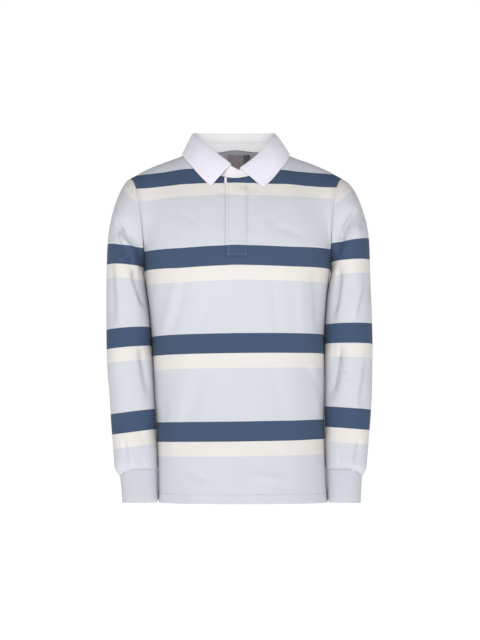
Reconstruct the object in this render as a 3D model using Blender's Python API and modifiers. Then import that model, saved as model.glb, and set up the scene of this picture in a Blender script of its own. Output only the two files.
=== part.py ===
"""A long-sleeved rugby polo shirt, filled out as if worn, with nothing inside it.

Metres, +Z up, the front of the shirt faces -Y, and the origin lies between the shoulders,
level with the side of the neck. left and right are those of the front view: left is -X.
"""
import math

import bpy
from mathutils import Vector
from mathutils.bvhtree import BVHTree

# Driving sizes.
CLOTH = 0.0016            # body and sleeve wall
CUFF_CLOTH = 0.0022
COLLAR_CLOTH = 0.0020
STAND_CLOTH = 0.0020
PLACKET_CLOTH = 0.0018
LABEL_CLOTH = 0.0010
SEAM_GAP = 0.0003         # between sewn pieces
HEM_Z = -0.686
UNDERARM_Z = -0.225
RIDGE_Y = -0.004          # the shoulder seams
SHOULDER_HALF = 0.2145    # from the middle to the sleeve seam, along the shoulder
NECK_S = 0.40             # the panel column that ends at the side of the neck
NECK_HALF = 0.0858        # neck hole seen from above: half width, reach in front, reach behind
NECK_FRONT = -0.0845
NECK_BACK = 0.0725
LOWER_ROWS = 12
UPPER_STEPS = [k / 12 for k in range(12)] + [0.972, 1.0]    # rows of a panel's upper columns

PALE_BLUE = (0.68, 0.72, 0.79, 1.0)
WHITE = (0.80, 0.79, 0.86, 1.0)
TAUPE = (0.19, 0.17, 0.17, 1.0)


class Sections:
    """A table with named columns, read smoothly between its rows by its first column.

    A level table runs level at its first row, as the middle of a symmetric piece does.
    """

    def __init__(self, columns, rows, level=False):
        self.level = level
        self.keys = [row[0] for row in rows]
        self.columns = {name: [row[k] for row in rows] for k, name in enumerate(columns)}

    def slope(self, values, k):
        if self.level and k == 0:
            return 0.0
        low = max(k - 1, 0)
        high = min(k + 1, len(values) - 1)
        return (values[high] - values[low]) / (self.keys[high] - self.keys[low])

    def at(self, name, key):
        keys = self.keys
        values = self.columns[name]
        k = 0
        while k < len(keys) - 2 and key > keys[k + 1]:
            k += 1
        span = keys[k + 1] - keys[k]
        t = min(max((key - keys[k]) / span, 0.0), 1.0)
        a, b = values[k], values[k + 1]
        ma, mb = self.slope(values, k) * span, self.slope(values, k + 1) * span
        return (a * (1 + 2 * t) + ma * t) * (1 - t) ** 2 + (b * (3 - 2 * t) - mb * (1 - t)) * t * t


# The trunk below the arms: level rings. left and right are the sides' x, front and back the
# y of the middle of each panel, and square is how far a ring is from an ellipse (2).
TRUNK = Sections(
    ("z", "left", "right", "front", "back", "square"),
    (
        (-0.686, -0.1535, 0.1815, -0.1195, 0.1060, 2.40),
        (-0.600, -0.1555, 0.1775, -0.1175, 0.1010, 2.40),
        (-0.520, -0.1590, 0.1757, -0.1165, 0.0945, 2.40),
        (-0.440, -0.1630, 0.1758, -0.1175, 0.0915, 2.40),
        (-0.360, -0.1685, 0.1763, -0.1200, 0.0970, 2.40),
        (-0.300, -0.1735, 0.1790, -0.1225, 0.1045, 2.40),
        (-0.260, -0.1790, 0.1835, -0.1240, 0.1090, 2.38),
        (-0.225, -0.1830, 0.1900, -0.1255, 0.1120, 2.35),
    ),
)

# The height of the shoulder seam, from the side of the neck out to the sleeve.
SHOULDER = Sections(
    ("s", "z"),
    (
        (0.40, 0.0180),
        (0.52, 0.0040),
        (0.68, -0.0085),
        (0.84, -0.0225),
        (1.00, -0.0410),
    ),
)

# The panels above the arms: each column is a Bezier curve from the underarm ring to the
# shoulder seam. low and top are its two handles. Columns inside the neck aim above the hole,
# by crown, and are cut off where they meet it.
PANEL_COLUMNS = ("s", "low_x", "low_y", "low_z", "top_x", "top_y", "top_z", "crown")
FRONT_PANEL = Sections(
    PANEL_COLUMNS,
    (
        (0.00, 0.0000, -0.0100, 0.095, 0.0000, -0.066, -0.033, 0.0220),
        (0.20, -0.0020, -0.0100, 0.092, 0.0000, -0.062, -0.022, 0.0150),
        (0.40, -0.0040, -0.0110, 0.085, 0.0000, -0.056, 0.000, 0.0000),
        (0.70, -0.0080, -0.0240, 0.072, -0.0030, -0.052, 0.000, 0.0000),
        (0.86, -0.0080, -0.0480, 0.048, -0.0120, -0.060, 0.000, 0.0000),
        (1.00, -0.0055, -0.0850, 0.020, -0.0255, -0.070, 0.000, 0.0000),
    ),
    level=True,
)
BACK_PANEL = Sections(
    PANEL_COLUMNS,
    (
        (0.00, 0.0000, 0.0120, 0.095, 0.0000, 0.122, -0.015, 0.0570),
        (0.20, -0.0020, 0.0120, 0.092, 0.0000, 0.112, -0.010, 0.0380),
        (0.40, -0.0040, 0.0140, 0.085, 0.0000, 0.086, 0.000, 0.0000),
        (0.70, -0.0080, 0.0280, 0.072, -0.0030, 0.073, 0.000, 0.0000),
        (0.86, -0.0080, 0.0520, 0.050, -0.0100, 0.072, 0.000, 0.0000),
        (1.00, -0.0040, 0.0950, 0.020, -0.0200, 0.080, 0.000, 0.0000),
    ),
    level=True,
)

# The sleeves: each ring hangs between an outer and an inner point, and reaches front and back.
# The first ring is the armhole seam, the last the cuff seam. A hang above 1 keeps a ring level
# until near its outer point, where the sleeve hangs over the cuff.
SLEEVE = Sections(
    ("ring", "out_left", "in_left", "out_right", "in_right", "z_out", "z_in", "front", "back",
     "hang"),
    (
        (0.0, 0.2145, 0.1830, 0.2145, 0.1900, -0.0410, -0.2250, -0.0600, 0.0700, 1.0),
        (1.0, 0.2235, 0.1842, 0.2270, 0.1911, -0.0500, -0.2285, -0.0640, 0.0720, 1.0),
        (2.0, 0.2335, 0.1842, 0.2400, 0.1907, -0.0680, -0.2325, -0.0670, 0.0730, 1.0),
        (3.0, 0.2430, 0.1836, 0.2510, 0.1895, -0.0950, -0.2385, -0.0690, 0.0735, 1.0),
        (4.0, 0.2515, 0.1824, 0.2610, 0.1876, -0.1270, -0.2480, -0.0700, 0.0730, 1.0),
        (5.0, 0.2565, 0.1807, 0.2665, 0.1852, -0.1650, -0.2610, -0.0700, 0.0720, 1.0),
        (6.0, 0.2585, 0.1780, 0.2680, 0.1830, -0.2100, -0.2800, -0.0690, 0.0700, 1.0),
        (7.0, 0.2590, 0.1747, 0.2695, 0.1804, -0.2600, -0.3060, -0.0680, 0.0670, 1.0),
        (8.0, 0.2587, 0.1717, 0.2712, 0.1786, -0.3150, -0.3400, -0.0670, 0.0630, 1.0),
        (9.0, 0.2580, 0.1687, 0.2722, 0.1777, -0.3700, -0.3810, -0.0660, 0.0580, 1.0),
        (10.0, 0.2558, 0.1654, 0.2715, 0.1774, -0.4250, -0.4270, -0.0645, 0.0520, 1.0),
        (11.0, 0.2510, 0.1627, 0.2698, 0.1773, -0.4780, -0.4770, -0.0625, 0.0440, 1.0),
        (12.0, 0.2475, 0.1604, 0.2660, 0.1774, -0.5300, -0.5270, -0.0605, 0.0360, 1.0),
        (13.0, 0.2430, 0.1584, 0.2615, 0.1786, -0.5800, -0.5750, -0.0585, 0.0280, 1.3),
        (14.0, 0.2400, 0.1575, 0.2580, 0.1801, -0.6170, -0.6060, -0.0570, 0.0210, 2.2),
        (15.0, 0.2290, 0.1572, 0.2490, 0.1815, -0.6380, -0.6205, -0.0500, 0.0090, 3.2),
    ),
)
SLEEVE_SQUARE = 2.2
SLEEVE_RINGS = (0.0, 0.55, 1.2, 2.0, 2.8, 3.6, 4.4, 5.2, 6.0, 6.7, 7.4, 8.1, 8.8, 9.5,
                10.2, 10.9, 11.6, 12.3, 13.0, 13.6, 14.15, 14.6, 15.0)
SEAM_FOLLOW = 3.0         # rings over which a sleeve leaves the armhole's own curve
CUFF = Sections(
    ("z", "out_left", "in_left", "out_right", "in_right", "front", "back"),
    (
        (-0.6865, 0.2245, 0.1580, 0.2460, 0.1842, -0.0500, 0.0060),
        (-0.6600, 0.2260, 0.1573, 0.2470, 0.1828, -0.0505, 0.0070),
        (-0.6290, 0.2290, 0.1572, 0.2490, 0.1815, -0.0500, 0.0090),
    ),
)
CUFF_HANG = 3.2
CUFF_TOP_OUT = -0.6380
CUFF_TOP_IN = -0.6205
CUFF_ROWS = 3

# The sleeves' largest folds: soft ridges (height above 0) and troughs, each between two places
# in the front view. bow bends a fold sideways.
FOLD_COLUMNS = ("sleeve", "seen_from", "x_0", "z_0", "x_1", "z_1", "bow", "height", "width")
FOLDS = (
    ("left", "front", -0.240, -0.128, -0.190, -0.184, 0.000, -0.0055, 0.012),
    ("left", "front", -0.234, -0.152, -0.198, -0.200, 0.000, 0.0035, 0.012),
    ("left", "front", -0.238, -0.136, -0.210, -0.212, -0.003, -0.0030, 0.012),
    ("left", "front", -0.200, -0.226, -0.172, -0.306, 0.002, -0.0070, 0.012),
    ("left", "front", -0.236, -0.215, -0.226, -0.330, 0.000, 0.0030, 0.013),
    ("left", "front", -0.181, -0.375, -0.167, -0.480, 0.002, -0.0050, 0.013),
    ("left", "back", -0.240, -0.120, -0.188, -0.200, -0.004, -0.0055, 0.014),
    ("left", "back", -0.214, -0.215, -0.180, -0.310, -0.004, -0.0065, 0.014),
    ("left", "back", -0.186, -0.395, -0.170, -0.490, 0.002, -0.0040, 0.014),
    ("right", "front", 0.238, -0.108, 0.198, -0.188, -0.006, -0.0060, 0.012),
    ("right", "front", 0.247, -0.135, 0.214, -0.196, -0.003, 0.0035, 0.013),
    ("right", "front", 0.199, -0.232, 0.184, -0.335, 0.000, -0.0070, 0.012),
    ("right", "front", 0.243, -0.232, 0.226, -0.325, 0.003, 0.0040, 0.016),
    ("right", "front", 0.198, -0.372, 0.180, -0.485, 0.000, -0.0070, 0.013),
    ("right", "back", 0.246, -0.110, 0.196, -0.190, 0.004, -0.0055, 0.014),
    ("right", "back", 0.222, -0.225, 0.190, -0.330, 0.004, -0.0060, 0.014),
    ("right", "back", 0.196, -0.390, 0.181, -0.470, 0.000, -0.0045, 0.014),
)
FOLD_FREE = 1.5           # rings from the armhole seam to where folds have their full height
FOLD_TAPER = 0.30         # the share of a fold's length over which each end fades
FOLD_TIP = 0.2            # what is left of its height at its two places
FOLD_ROUND = 1.4          # how near a sleeve's sides folds keep their full height
FACING = {"front": Vector((0, -1, 0)), "back": Vector((0, 1, 0))}

# The collar: each section runs from the stand's top edge, over the roll, to the fall's edge.
# inner is how far the roll stands above the stand, bulge how far the fall rounds outwards.
COLLAR = Sections(
    ("s", "roll_x", "roll_y", "roll_z", "edge_x", "edge_y", "edge_z", "inner", "bulge"),
    (
        (0.00, -0.010, -0.0790, -0.0205, -0.0500, -0.0960, -0.0660, 0.0045, 0.000),
        (0.10, -0.036, -0.0570, 0.0030, -0.0720, -0.0760, -0.0430, 0.0060, 0.000),
        (0.20, -0.066, -0.0220, 0.0330, -0.0930, -0.0420, -0.0180, 0.0110, 0.001),
        (0.30, -0.086, 0.0250, 0.0560, -0.1005, -0.0020, -0.0040, 0.0160, 0.001),
        (0.40, -0.066, 0.0620, 0.0630, -0.0830, 0.0650, 0.0060, 0.0190, 0.003),
        (0.50, -0.003, 0.0770, 0.0655, -0.0020, 0.0950, 0.0000, 0.0205, 0.004),
        (0.60, 0.060, 0.0620, 0.0630, 0.0800, 0.0650, 0.0060, 0.0190, 0.003),
        (0.70, 0.079, 0.0250, 0.0560, 0.0990, -0.0020, -0.0040, 0.0160, 0.001),
        (0.80, 0.064, -0.0220, 0.0320, 0.0960, -0.0420, -0.0190, 0.0110, 0.001),
        (0.90, 0.040, -0.0570, -0.0010, 0.0770, -0.0760, -0.0450, 0.0060, 0.000),
        (1.00, 0.008, -0.0790, -0.0290, 0.0540, -0.0960, -0.0690, 0.0045, 0.000),
    ),
)
ROLL_RADIUS = 0.0034
ROLL_STEPS = 3
FALL_STEPS = 5
LEAF_LIFT = 0.0016        # air between the fall's edge and the shirt

# The stand runs once around the neck and laps over itself in front.
STAND_START = -10.0       # degrees from the front, counted over the left shoulder
STAND_END = 375.0
STAND_LAP_FROM = 295.0    # where the outer end starts to move outwards
STAND_LAP_FULL = 340.0
STAND_ROWS = 2
STAND_GAP = 0.0006        # above the panels' neck edge, and below the fall's inner edge

PLACKET_LEFT = -0.0200
PLACKET_RIGHT = 0.0214
PLACKET_SHORT = 0.0012    # from its top to the neck edge
PLACKET_BOTTOM = -0.2080
PLACKET_STEPS = (4, 12)
PLACKET_AIR = 0.0005      # between the placket and the front

# The white edge that shows at the top of the placket's free side.
TAPE_CLOTH = 0.0010
TAPE = (-0.0222, -0.0178, -0.0630, -0.0508)     # left, right, bottom, top

LABEL_TOP = 0.0225
LABEL_AIR = 0.0012        # between a label and the back
LABELS = (
    # name, left, right, bottom
    ("neck_label", -0.0180, 0.0140, -0.0340),
    ("size_label", 0.0155, 0.0300, -0.0200),
)


def mix(a, b, t):
    return a + (b - a) * t


def bezier(p0, p1, p2, p3, t):
    return (p0 * (1 - t) ** 3 + p1 * 3 * t * (1 - t) ** 2 + p2 * 3 * t * t * (1 - t) + p3 * t ** 3)


def rounded(value, square):
    """cos or sin of a superellipse."""
    return math.copysign(abs(value) ** (2.0 / square), value)


def solve(test, low, high):
    """The value between low and high where test turns from negative to positive."""
    for _ in range(40):
        middle = (low + high) / 2
        if test(middle) < 0:
            low = middle
        else:
            high = middle
    return (low + high) / 2


def grid_normals(rows, around):
    """Normals of a grid, from the neighbours of each point."""
    width = len(rows[0])
    normals = []
    for j, row in enumerate(rows):
        below, above = rows[max(j - 1, 0)], rows[min(j + 1, len(rows) - 1)]
        line = []
        for i in range(width):
            low = (i - 1) % width if around else max(i - 1, 0)
            high = (i + 1) % width if around else min(i + 1, width - 1)
            line.append((row[high] - row[low]).cross(above[i] - below[i]).normalized())
        normals.append(line)
    return normals


def fold_push(folds, point, normal):
    """How far the folds move a point along its normal."""
    push = 0.0
    place = Vector((point.x, point.z))
    for fold in folds:
        facing = normal.dot(FACING[fold["seen_from"]])
        if facing <= 0.0:
            continue
        start = Vector((fold["x_0"], fold["z_0"]))
        run = Vector((fold["x_1"], fold["z_1"])) - start
        t = min(max((place - start).dot(run) / run.length_squared, 0.0), 1.0)
        sideways = Vector((-run.y, run.x)).normalized()
        distance = (place - start - run * t - sideways * fold["bow"] * 4 * t * (1 - t)).length
        fade = min(1.0, FOLD_TIP + t / FOLD_TAPER, FOLD_TIP + (1 - t) / FOLD_TAPER)
        bell = math.exp(-((distance / fold["width"]) ** 2))
        push += fold["height"] * bell * fade * min(facing * FOLD_ROUND, 1.0)
    return push


# ---- the trunk and its two panels; side is -1 for the front and +1 for the back ----

def half_ring(z, side, samples=96):
    """One half of a level ring from -X to +X, with its running length."""
    left, right = TRUNK.at("left", z), TRUNK.at("right", z)
    depth = abs(TRUNK.at("front" if side < 0 else "back", z))
    square = TRUNK.at("square", z)
    points = []
    for k in range(samples + 1):
        angle = math.pi * (1 - k / samples)
        x = (left + right) / 2 + (right - left) / 2 * rounded(math.cos(angle), square)
        points.append(Vector((x, side * depth * rounded(math.sin(angle), square), z)))
    lengths = [0.0]
    for a, b in zip(points, points[1:]):
        lengths.append(lengths[-1] + (b - a).length)
    return points, lengths


def on_ring(ring, s):
    """The ring's point at s, from -1 at the left side to 1 at the right side."""
    points, lengths = ring
    wanted = lengths[-1] * (s + 1) / 2
    k = 1
    while k < len(lengths) - 1 and lengths[k] < wanted:
        k += 1
    t = (wanted - lengths[k - 1]) / (lengths[k] - lengths[k - 1])
    return points[k - 1].lerp(points[k], t)


UNDERARM_RING = {side: half_ring(UNDERARM_Z, side) for side in (-1, 1)}


def column(side, s):
    """The four Bezier points of a panel's upper column."""
    table = FRONT_PANEL if side < 0 else BACK_PANEL
    hand = math.copysign(1.0, s)
    part = abs(s)
    foot = on_ring(UNDERARM_RING[side], s)
    ridge = SHOULDER.at("z", max(part, NECK_S)) + (table.at("crown", part) if part < NECK_S else 0)
    head = Vector((hand * SHOULDER_HALF * part, RIDGE_Y, ridge))
    low = Vector((hand * table.at("low_x", part), table.at("low_y", part), table.at("low_z", part)))
    top = Vector((hand * table.at("top_x", part), table.at("top_y", part), table.at("top_z", part)))
    return foot, foot + low, head + top, head


def neck_end(side, s):
    """How far up its curve a column goes before it meets the neck hole, or 1."""
    if abs(s) >= NECK_S - 1e-6:
        return 1.0
    points = column(side, s)
    reach = NECK_FRONT if side < 0 else NECK_BACK

    def inside(t):
        p = bezier(*points, t)
        return 1.0 - (p.x / NECK_HALF) ** 2 - ((p.y - RIDGE_Y) / (reach - RIDGE_Y)) ** 2

    return solve(inside, 0.2, 1.0)


def panel_point(side, s, t):
    """A point of the upper panel: t is 0 at the underarm ring and 1 at its upper edge."""
    return bezier(*column(side, s), t * neck_end(side, s))


def panel_columns(neck_steps=6, shoulder_steps=7):
    """Where the panel's columns stand, closer together towards the side of the neck."""
    half = [NECK_S * math.sin(math.pi / 2 * k / neck_steps) for k in range(neck_steps + 1)]
    half += [mix(NECK_S, 1.0, (k + 1) / shoulder_steps) for k in range(shoulder_steps)]
    return [-s for s in reversed(half[1:])] + half


def panel_grid(side):
    """Rows of points from the hem up."""
    columns = panel_columns()
    rows = []
    for k in range(LOWER_ROWS):
        ring = half_ring(mix(HEM_Z, UNDERARM_Z, k / LOWER_ROWS), side)
        rows.append([on_ring(ring, s) for s in columns])
    for t in UPPER_STEPS:
        rows.append([panel_point(side, s, t) for s in columns])
    return rows


def hold_back(rows, distance):
    """Moves a grid's outer points inwards along the cloth, for the gap at its seams.

    Three times as far along the upper edge, where the walls lean together inside.
    """
    def towards(point, inner):
        return point + (inner - point).normalized() * distance

    for row in rows:
        row[0] = towards(row[0], row[1])
        row[-1] = towards(row[-1], row[-2])
    rows[-1] = [p + (q - p).normalized() * distance * 3 for p, q in zip(rows[-1], rows[-2])]
    return rows


# ---- sleeves and cuffs ----

def seam_point(side, hand, z):
    """The armhole seam at height z."""
    points = column(side, float(hand))
    t = solve(lambda t: bezier(*points, t).z - z, 0.0, 1.0)
    return bezier(*points, t)


def oval(outer, inner, front, back, angle, hang=1.0):
    """A ring's point; angle is 0 outside, 90 degrees in front, 180 inside and 270 behind."""
    outwards = (1 + rounded(math.cos(angle), SLEEVE_SQUARE)) / 2
    point = inner.lerp(outer, outwards)
    point.z = mix(inner.z, outer.z, outwards ** hang)
    along_y = rounded(math.sin(angle), SLEEVE_SQUARE)
    point.y = mix(front, back, (1 - along_y) / 2)
    return point


def sleeve_point(hand, ring, angle):
    name = "left" if hand < 0 else "right"
    outer = Vector((hand * SLEEVE.at("out_" + name, ring), 0, SLEEVE.at("z_out", ring)))
    inner = Vector((hand * SLEEVE.at("in_" + name, ring), 0, SLEEVE.at("z_in", ring)))
    point = oval(outer, inner, SLEEVE.at("front", ring), SLEEVE.at("back", ring), angle,
                 SLEEVE.at("hang", ring))
    if ring < SEAM_FOLLOW:
        outer = Vector((hand * SLEEVE.at("out_" + name, 0), 0, SLEEVE.at("z_out", 0)))
        inner = Vector((hand * SLEEVE.at("in_" + name, 0), 0, SLEEVE.at("z_in", 0)))
        first = oval(outer, inner, SLEEVE.at("front", 0), SLEEVE.at("back", 0), angle)
        side = -1 if math.sin(angle) >= 0 else 1
        seam = seam_point(side, hand, first.z)
        fade = 1 - ring / SEAM_FOLLOW
        point += (seam - first) * fade * fade * (3 - 2 * fade)
    return point


def sleeve_angles(hand):
    """The angles at which a sleeve's columns leave the ends of the panels' rows."""
    angles = []
    for side in (-1, 1):
        for t in (UPPER_STEPS[:0:-1] if side < 0 else UPPER_STEPS[:-1]):
            z = bezier(*column(side, float(hand)), t).z
            z_out, z_in = SLEEVE.at("z_out", 0), SLEEVE.at("z_in", 0)
            level = min(max((z - (z_out + z_in) / 2) / ((z_out - z_in) / 2), -1.0), 1.0)
            cosine = math.copysign(abs(level) ** (SLEEVE_SQUARE / 2), level)
            angle = math.acos(cosine)
            angles.append(angle if side < 0 else 2 * math.pi - angle)
    return angles


def sleeve_grid(hand):
    angles = sleeve_angles(hand)
    rows = [[sleeve_point(hand, ring, angle) for angle in angles] for ring in SLEEVE_RINGS]
    name = "left" if hand < 0 else "right"
    folds = [dict(zip(FOLD_COLUMNS, row)) for row in FOLDS]
    folds = [fold for fold in folds if fold["sleeve"] == name]
    normals = grid_normals(rows, True)
    for ring, row, line in zip(SLEEVE_RINGS, rows, normals):
        settled = min(ring / FOLD_FREE, 1.0)
        for i, normal in enumerate(line):
            outwards = normal * hand
            row[i] = row[i] + outwards * fold_push(folds, row[i], outwards) * settled
    rows[0] = [p + (q - p).normalized() * SEAM_GAP for p, q in zip(rows[0], rows[1])]
    return rows


def cuff_grid(hand):
    name = "left" if hand < 0 else "right"
    rows = []
    for k in range(CUFF_ROWS + 1):
        t = k / CUFF_ROWS
        z_out = mix(CUFF_TOP_OUT - SEAM_GAP, HEM_Z - 0.0005, t)
        z_in = mix(CUFF_TOP_IN - SEAM_GAP, HEM_Z - 0.0005, t)
        z = (z_out + z_in) / 2
        outer = Vector((hand * CUFF.at("out_" + name, z), 0, z_out))
        inner = Vector((hand * CUFF.at("in_" + name, z), 0, z_in))
        front, back = CUFF.at("front", z), CUFF.at("back", z)
        rows.append([oval(outer, inner, front, back, angle, CUFF_HANG)
                     for angle in sleeve_angles(hand)])
    return rows


# ---- what lies on the panels ----

def panel_at(side, x, z):
    """The upper panel's outer point at x and z, with its outward normal."""
    s = x / SHOULDER_HALF
    for _ in range(5):
        points = column(side, s)
        t = solve(lambda t: bezier(*points, t).z - z, 0.0, 0.95)
        s += (x - bezier(*points, t).x) / SHOULDER_HALF
    step = 0.01
    point = bezier(*column(side, s), t)
    across = bezier(*column(side, s + step), t) - bezier(*column(side, s - step), t)
    upwards = bezier(*column(side, s), t + step) - bezier(*column(side, s), t - step)
    normal = across.cross(upwards).normalized()
    return point, normal * (1 if normal.y * side > 0 else -1)


def neck_z(x):
    """The height of the front's neck edge at x."""
    s = x / SHOULDER_HALF
    for _ in range(5):
        point = panel_point(-1, s, 1.0)
        s += (x - point.x) / SHOULDER_HALF
    return point.z


def placket_grid():
    """The panel's own points, moved out."""
    lift = PLACKET_AIR + PLACKET_CLOTH
    rows = []
    for j in range(PLACKET_STEPS[1] + 1):
        row = []
        for i in range(PLACKET_STEPS[0] + 1):
            part = 2 * i / PLACKET_STEPS[0] - 1
            x = part * (PLACKET_RIGHT if part > 0 else -PLACKET_LEFT)
            z = mix(PLACKET_BOTTOM, neck_z(x) - PLACKET_SHORT, j / PLACKET_STEPS[1])
            point, normal = panel_at(-1, x, z)
            row.append(point + normal * lift)
        rows.append(row)
    return rows


def tape_grid():
    lift = PLACKET_AIR + PLACKET_CLOTH + SEAM_GAP * 2 + TAPE_CLOTH
    left, right, bottom, top = TAPE
    rows = []
    for z in (bottom, (bottom + top) / 2, top):
        places = [panel_at(-1, x, z) for x in (left, right)]
        rows.append([point + normal * lift for point, normal in places])
    return rows


def label_grid(left, right, bottom):
    """The back panel's points, moved in past its wall."""
    rows = []
    for z in (bottom, (bottom + LABEL_TOP) / 2, LABEL_TOP):
        row = []
        for x in (left, (left + right) / 2, right):
            point, normal = panel_at(1, x, z)
            row.append(point - normal * (CLOTH + LABEL_AIR + LABEL_CLOTH))
        rows.append(row)
    return rows


# ---- collar ----

def neck_loop(front, back):
    """The panels' neck edges as one loop, from the front over the left shoulder."""
    inside = [k for k, s in enumerate(panel_columns()) if abs(s) <= NECK_S + 1e-6]
    ahead = [front[-1][k] for k in inside]
    behind = [back[-1][k] for k in inside]
    middle = len(ahead) // 2
    left = [(ahead[0] + behind[0]) / 2]
    right = [(ahead[-1] + behind[-1]) / 2]
    loop = ahead[middle:0:-1] + left + behind[1:-1] + right + ahead[-2:middle - 1:-1]
    halves = [(a + b) / 2 for a, b in zip(loop, loop[1:])]
    return [point for pair in zip(loop, halves) for point in pair] + [loop[0]]


def around_neck(point):
    """Degrees from the front, over the left shoulder, seen from above."""
    return math.degrees(math.atan2(-point.x, RIDGE_Y - point.y)) % 360.0


def on_loop(loop, angle):
    """The closed loop's point at an angle."""
    angle %= 360.0
    for a, b in zip(loop, loop[1:] + loop[:1]):
        low, high = around_neck(a), around_neck(b)
        if high < low:
            high += 360.0
        for turned in (angle, angle + 360.0):
            if low - 1e-4 <= turned <= high + 1e-4 and high - low > 1e-3:
                return a.lerp(b, (turned - low) / (high - low))
    raise ValueError("no point at this angle")


def collar_section(s):
    """The roll, the inner leg's foot and the fall's edge at s."""
    roll = Vector([COLLAR.at("roll_" + axis, s) for axis in "xyz"])
    edge = Vector([COLLAR.at("edge_" + axis, s) for axis in "xyz"])
    outwards = Vector((roll.x, roll.y - RIDGE_Y, 0)).normalized()
    foot = roll - outwards * ROLL_RADIUS - Vector((0, 0, COLLAR.at("inner", s)))
    return foot, roll, edge, outwards


def collar_columns(loop):
    """Where the collar's columns stand: above the neck edge's own points."""
    def foot_angle(s):
        angle = around_neck(collar_section(s)[0])
        if s < 0.25 and angle > 180.0:
            return angle - 360.0
        return angle

    columns = [0.0]
    for point in loop[:-1]:
        angle = around_neck(point)
        if foot_angle(0.0) + 1.0 < angle < foot_angle(1.0) - 1.0:
            columns.append(solve(lambda s: foot_angle(s) - angle, 0.0, 1.0))
    return columns + [1.0]


def stand_grid(loop):
    feet = [collar_section(s)[0] for s in collar_columns(loop)]
    ends = [around_neck(feet[0]), around_neck(feet[-1])]
    corners = [around_neck(point) for point in loop[:-1]]
    corners = ends + [a for a in corners if min(abs(a - end) for end in ends) > 1.5]
    angles = [angle + turn for turn in (-360.0, 0.0, 360.0) for angle in corners]
    angles = sorted(angle for angle in angles if STAND_START + 1 < angle < STAND_END - 1)
    rows = [[] for _ in range(STAND_ROWS + 1)]
    for angle in [STAND_START] + angles + [STAND_END]:
        low = on_loop(loop[:-1], angle)
        foot = on_loop(feet, angle)
        outwards = Vector((foot.x, foot.y - RIDGE_Y, 0)).normalized()
        high = foot + outwards * STAND_CLOTH
        lean = (high - low).xy.length / (high.z - low.z)
        low = low + Vector((0, 0, STAND_GAP + lean * STAND_CLOTH))
        high = high - Vector((0, 0, STAND_GAP + lean * STAND_CLOTH))
        lap = min(max((angle - STAND_LAP_FROM) / (STAND_LAP_FULL - STAND_LAP_FROM), 0.0), 1.0)
        lap = outwards * (lap * lap * (3 - 2 * lap) * (STAND_CLOTH + 2 * SEAM_GAP))
        for j, row in enumerate(rows):
            row.append(low.lerp(high, j / STAND_ROWS) + lap)
    return rows


def collar_grid(loop, lift_off):
    """Rows from the inner leg's foot, over the roll, to the fall's edge."""
    rows = [[] for _ in range(ROLL_STEPS + FALL_STEPS + 1)]
    for s in collar_columns(loop):
        foot, roll, edge, outwards = collar_section(s)
        edge = lift_off(edge, COLLAR_CLOTH + LEAF_LIFT, True)
        corner = Vector((foot.x, foot.y, roll.z))
        for j in range(ROLL_STEPS):
            t = j / ROLL_STEPS
            rows[j].append(foot * (1 - t) ** 2 + corner * 2 * t * (1 - t) + roll * t * t)
        over = roll.lerp(edge, 0.15) + outwards * (ROLL_RADIUS * 1.6 + COLLAR.at("bulge", s))
        above = roll.lerp(edge, 0.6) + outwards * COLLAR.at("bulge", s)
        for j in range(FALL_STEPS + 1):
            point = bezier(roll, over, above, edge, j / FALL_STEPS)
            if j > 0:
                point = lift_off(point, COLLAR_CLOTH + 2 * SEAM_GAP, False)
            rows[ROLL_STEPS + j].append(point)
    return rows


# ---- making the objects ----

def new_material(name, color, roughness):
    material = bpy.data.materials.new(name)
    material.use_nodes = True
    shader = material.node_tree.nodes["Principled BSDF"]
    shader.inputs["Base Color"].default_value = color
    shader.inputs["Roughness"].default_value = roughness
    return material


def cloth_object(name, rows, thickness, color, around=False, flip=False):
    """A wall of cloth through a grid of points; its thickness lies behind the points."""
    width = len(rows[0])
    points = [point for row in rows for point in row]
    faces = []
    for j in range(len(rows) - 1):
        for i in range(width if around else width - 1):
            k = (i + 1) % width
            face = (j * width + i, j * width + k, (j + 1) * width + k, (j + 1) * width + i)
            faces.append(face[::-1] if flip else face)
    mesh = bpy.data.meshes.new(name)
    mesh.from_pydata(points, [], faces)
    mesh.update()
    mesh.shade_smooth()
    item = bpy.data.objects.new(name, mesh)
    item.data.materials.append(new_material(name, color, 0.85))
    shirt.objects.link(item)
    wall = item.modifiers.new("Wall", "SOLIDIFY")
    wall.thickness = thickness
    wall.offset = -1.0
    return item


def grid_faces(rows, start, flip):
    width = len(rows[0])
    faces = []
    for j in range(len(rows) - 1):
        for i in range(width - 1):
            k = start + j * width + i
            face = (k, k + 1, k + width + 1, k + width)
            faces.append(face[::-1] if flip else face)
    return faces


def lifter(layers):
    """A function that moves a point out to a distance from these grids' outer faces."""
    points, faces = [], []
    for rows, flip in layers:
        faces += grid_faces(rows, len(points), flip)
        points += [point for row in rows for point in row]
    tree = BVHTree.FromPolygons(points, faces)

    def lift_off(point, distance, exactly):
        place, normal, index, far = tree.find_nearest(point)
        height = (point - place).dot(normal)
        if exactly or height < distance:
            point = point + normal * (distance - height)
        return point

    return lift_off


for old in list(bpy.data.objects):
    bpy.data.objects.remove(old)
shirt = bpy.data.collections.new("Polo shirt")
bpy.context.scene.collection.children.link(shirt)

front = hold_back(panel_grid(-1), SEAM_GAP / 2)
back = hold_back(panel_grid(1), SEAM_GAP / 2)
cloth_object("front", front, CLOTH, PALE_BLUE)
cloth_object("back", back, CLOTH, PALE_BLUE, flip=True)
for hand, name in ((-1, "left"), (1, "right")):
    cloth_object("sleeve_" + name, sleeve_grid(hand), CLOTH, PALE_BLUE, True, hand < 0)
    cloth_object("cuff_" + name, cuff_grid(hand), CUFF_CLOTH, PALE_BLUE, True, hand < 0)

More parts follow.
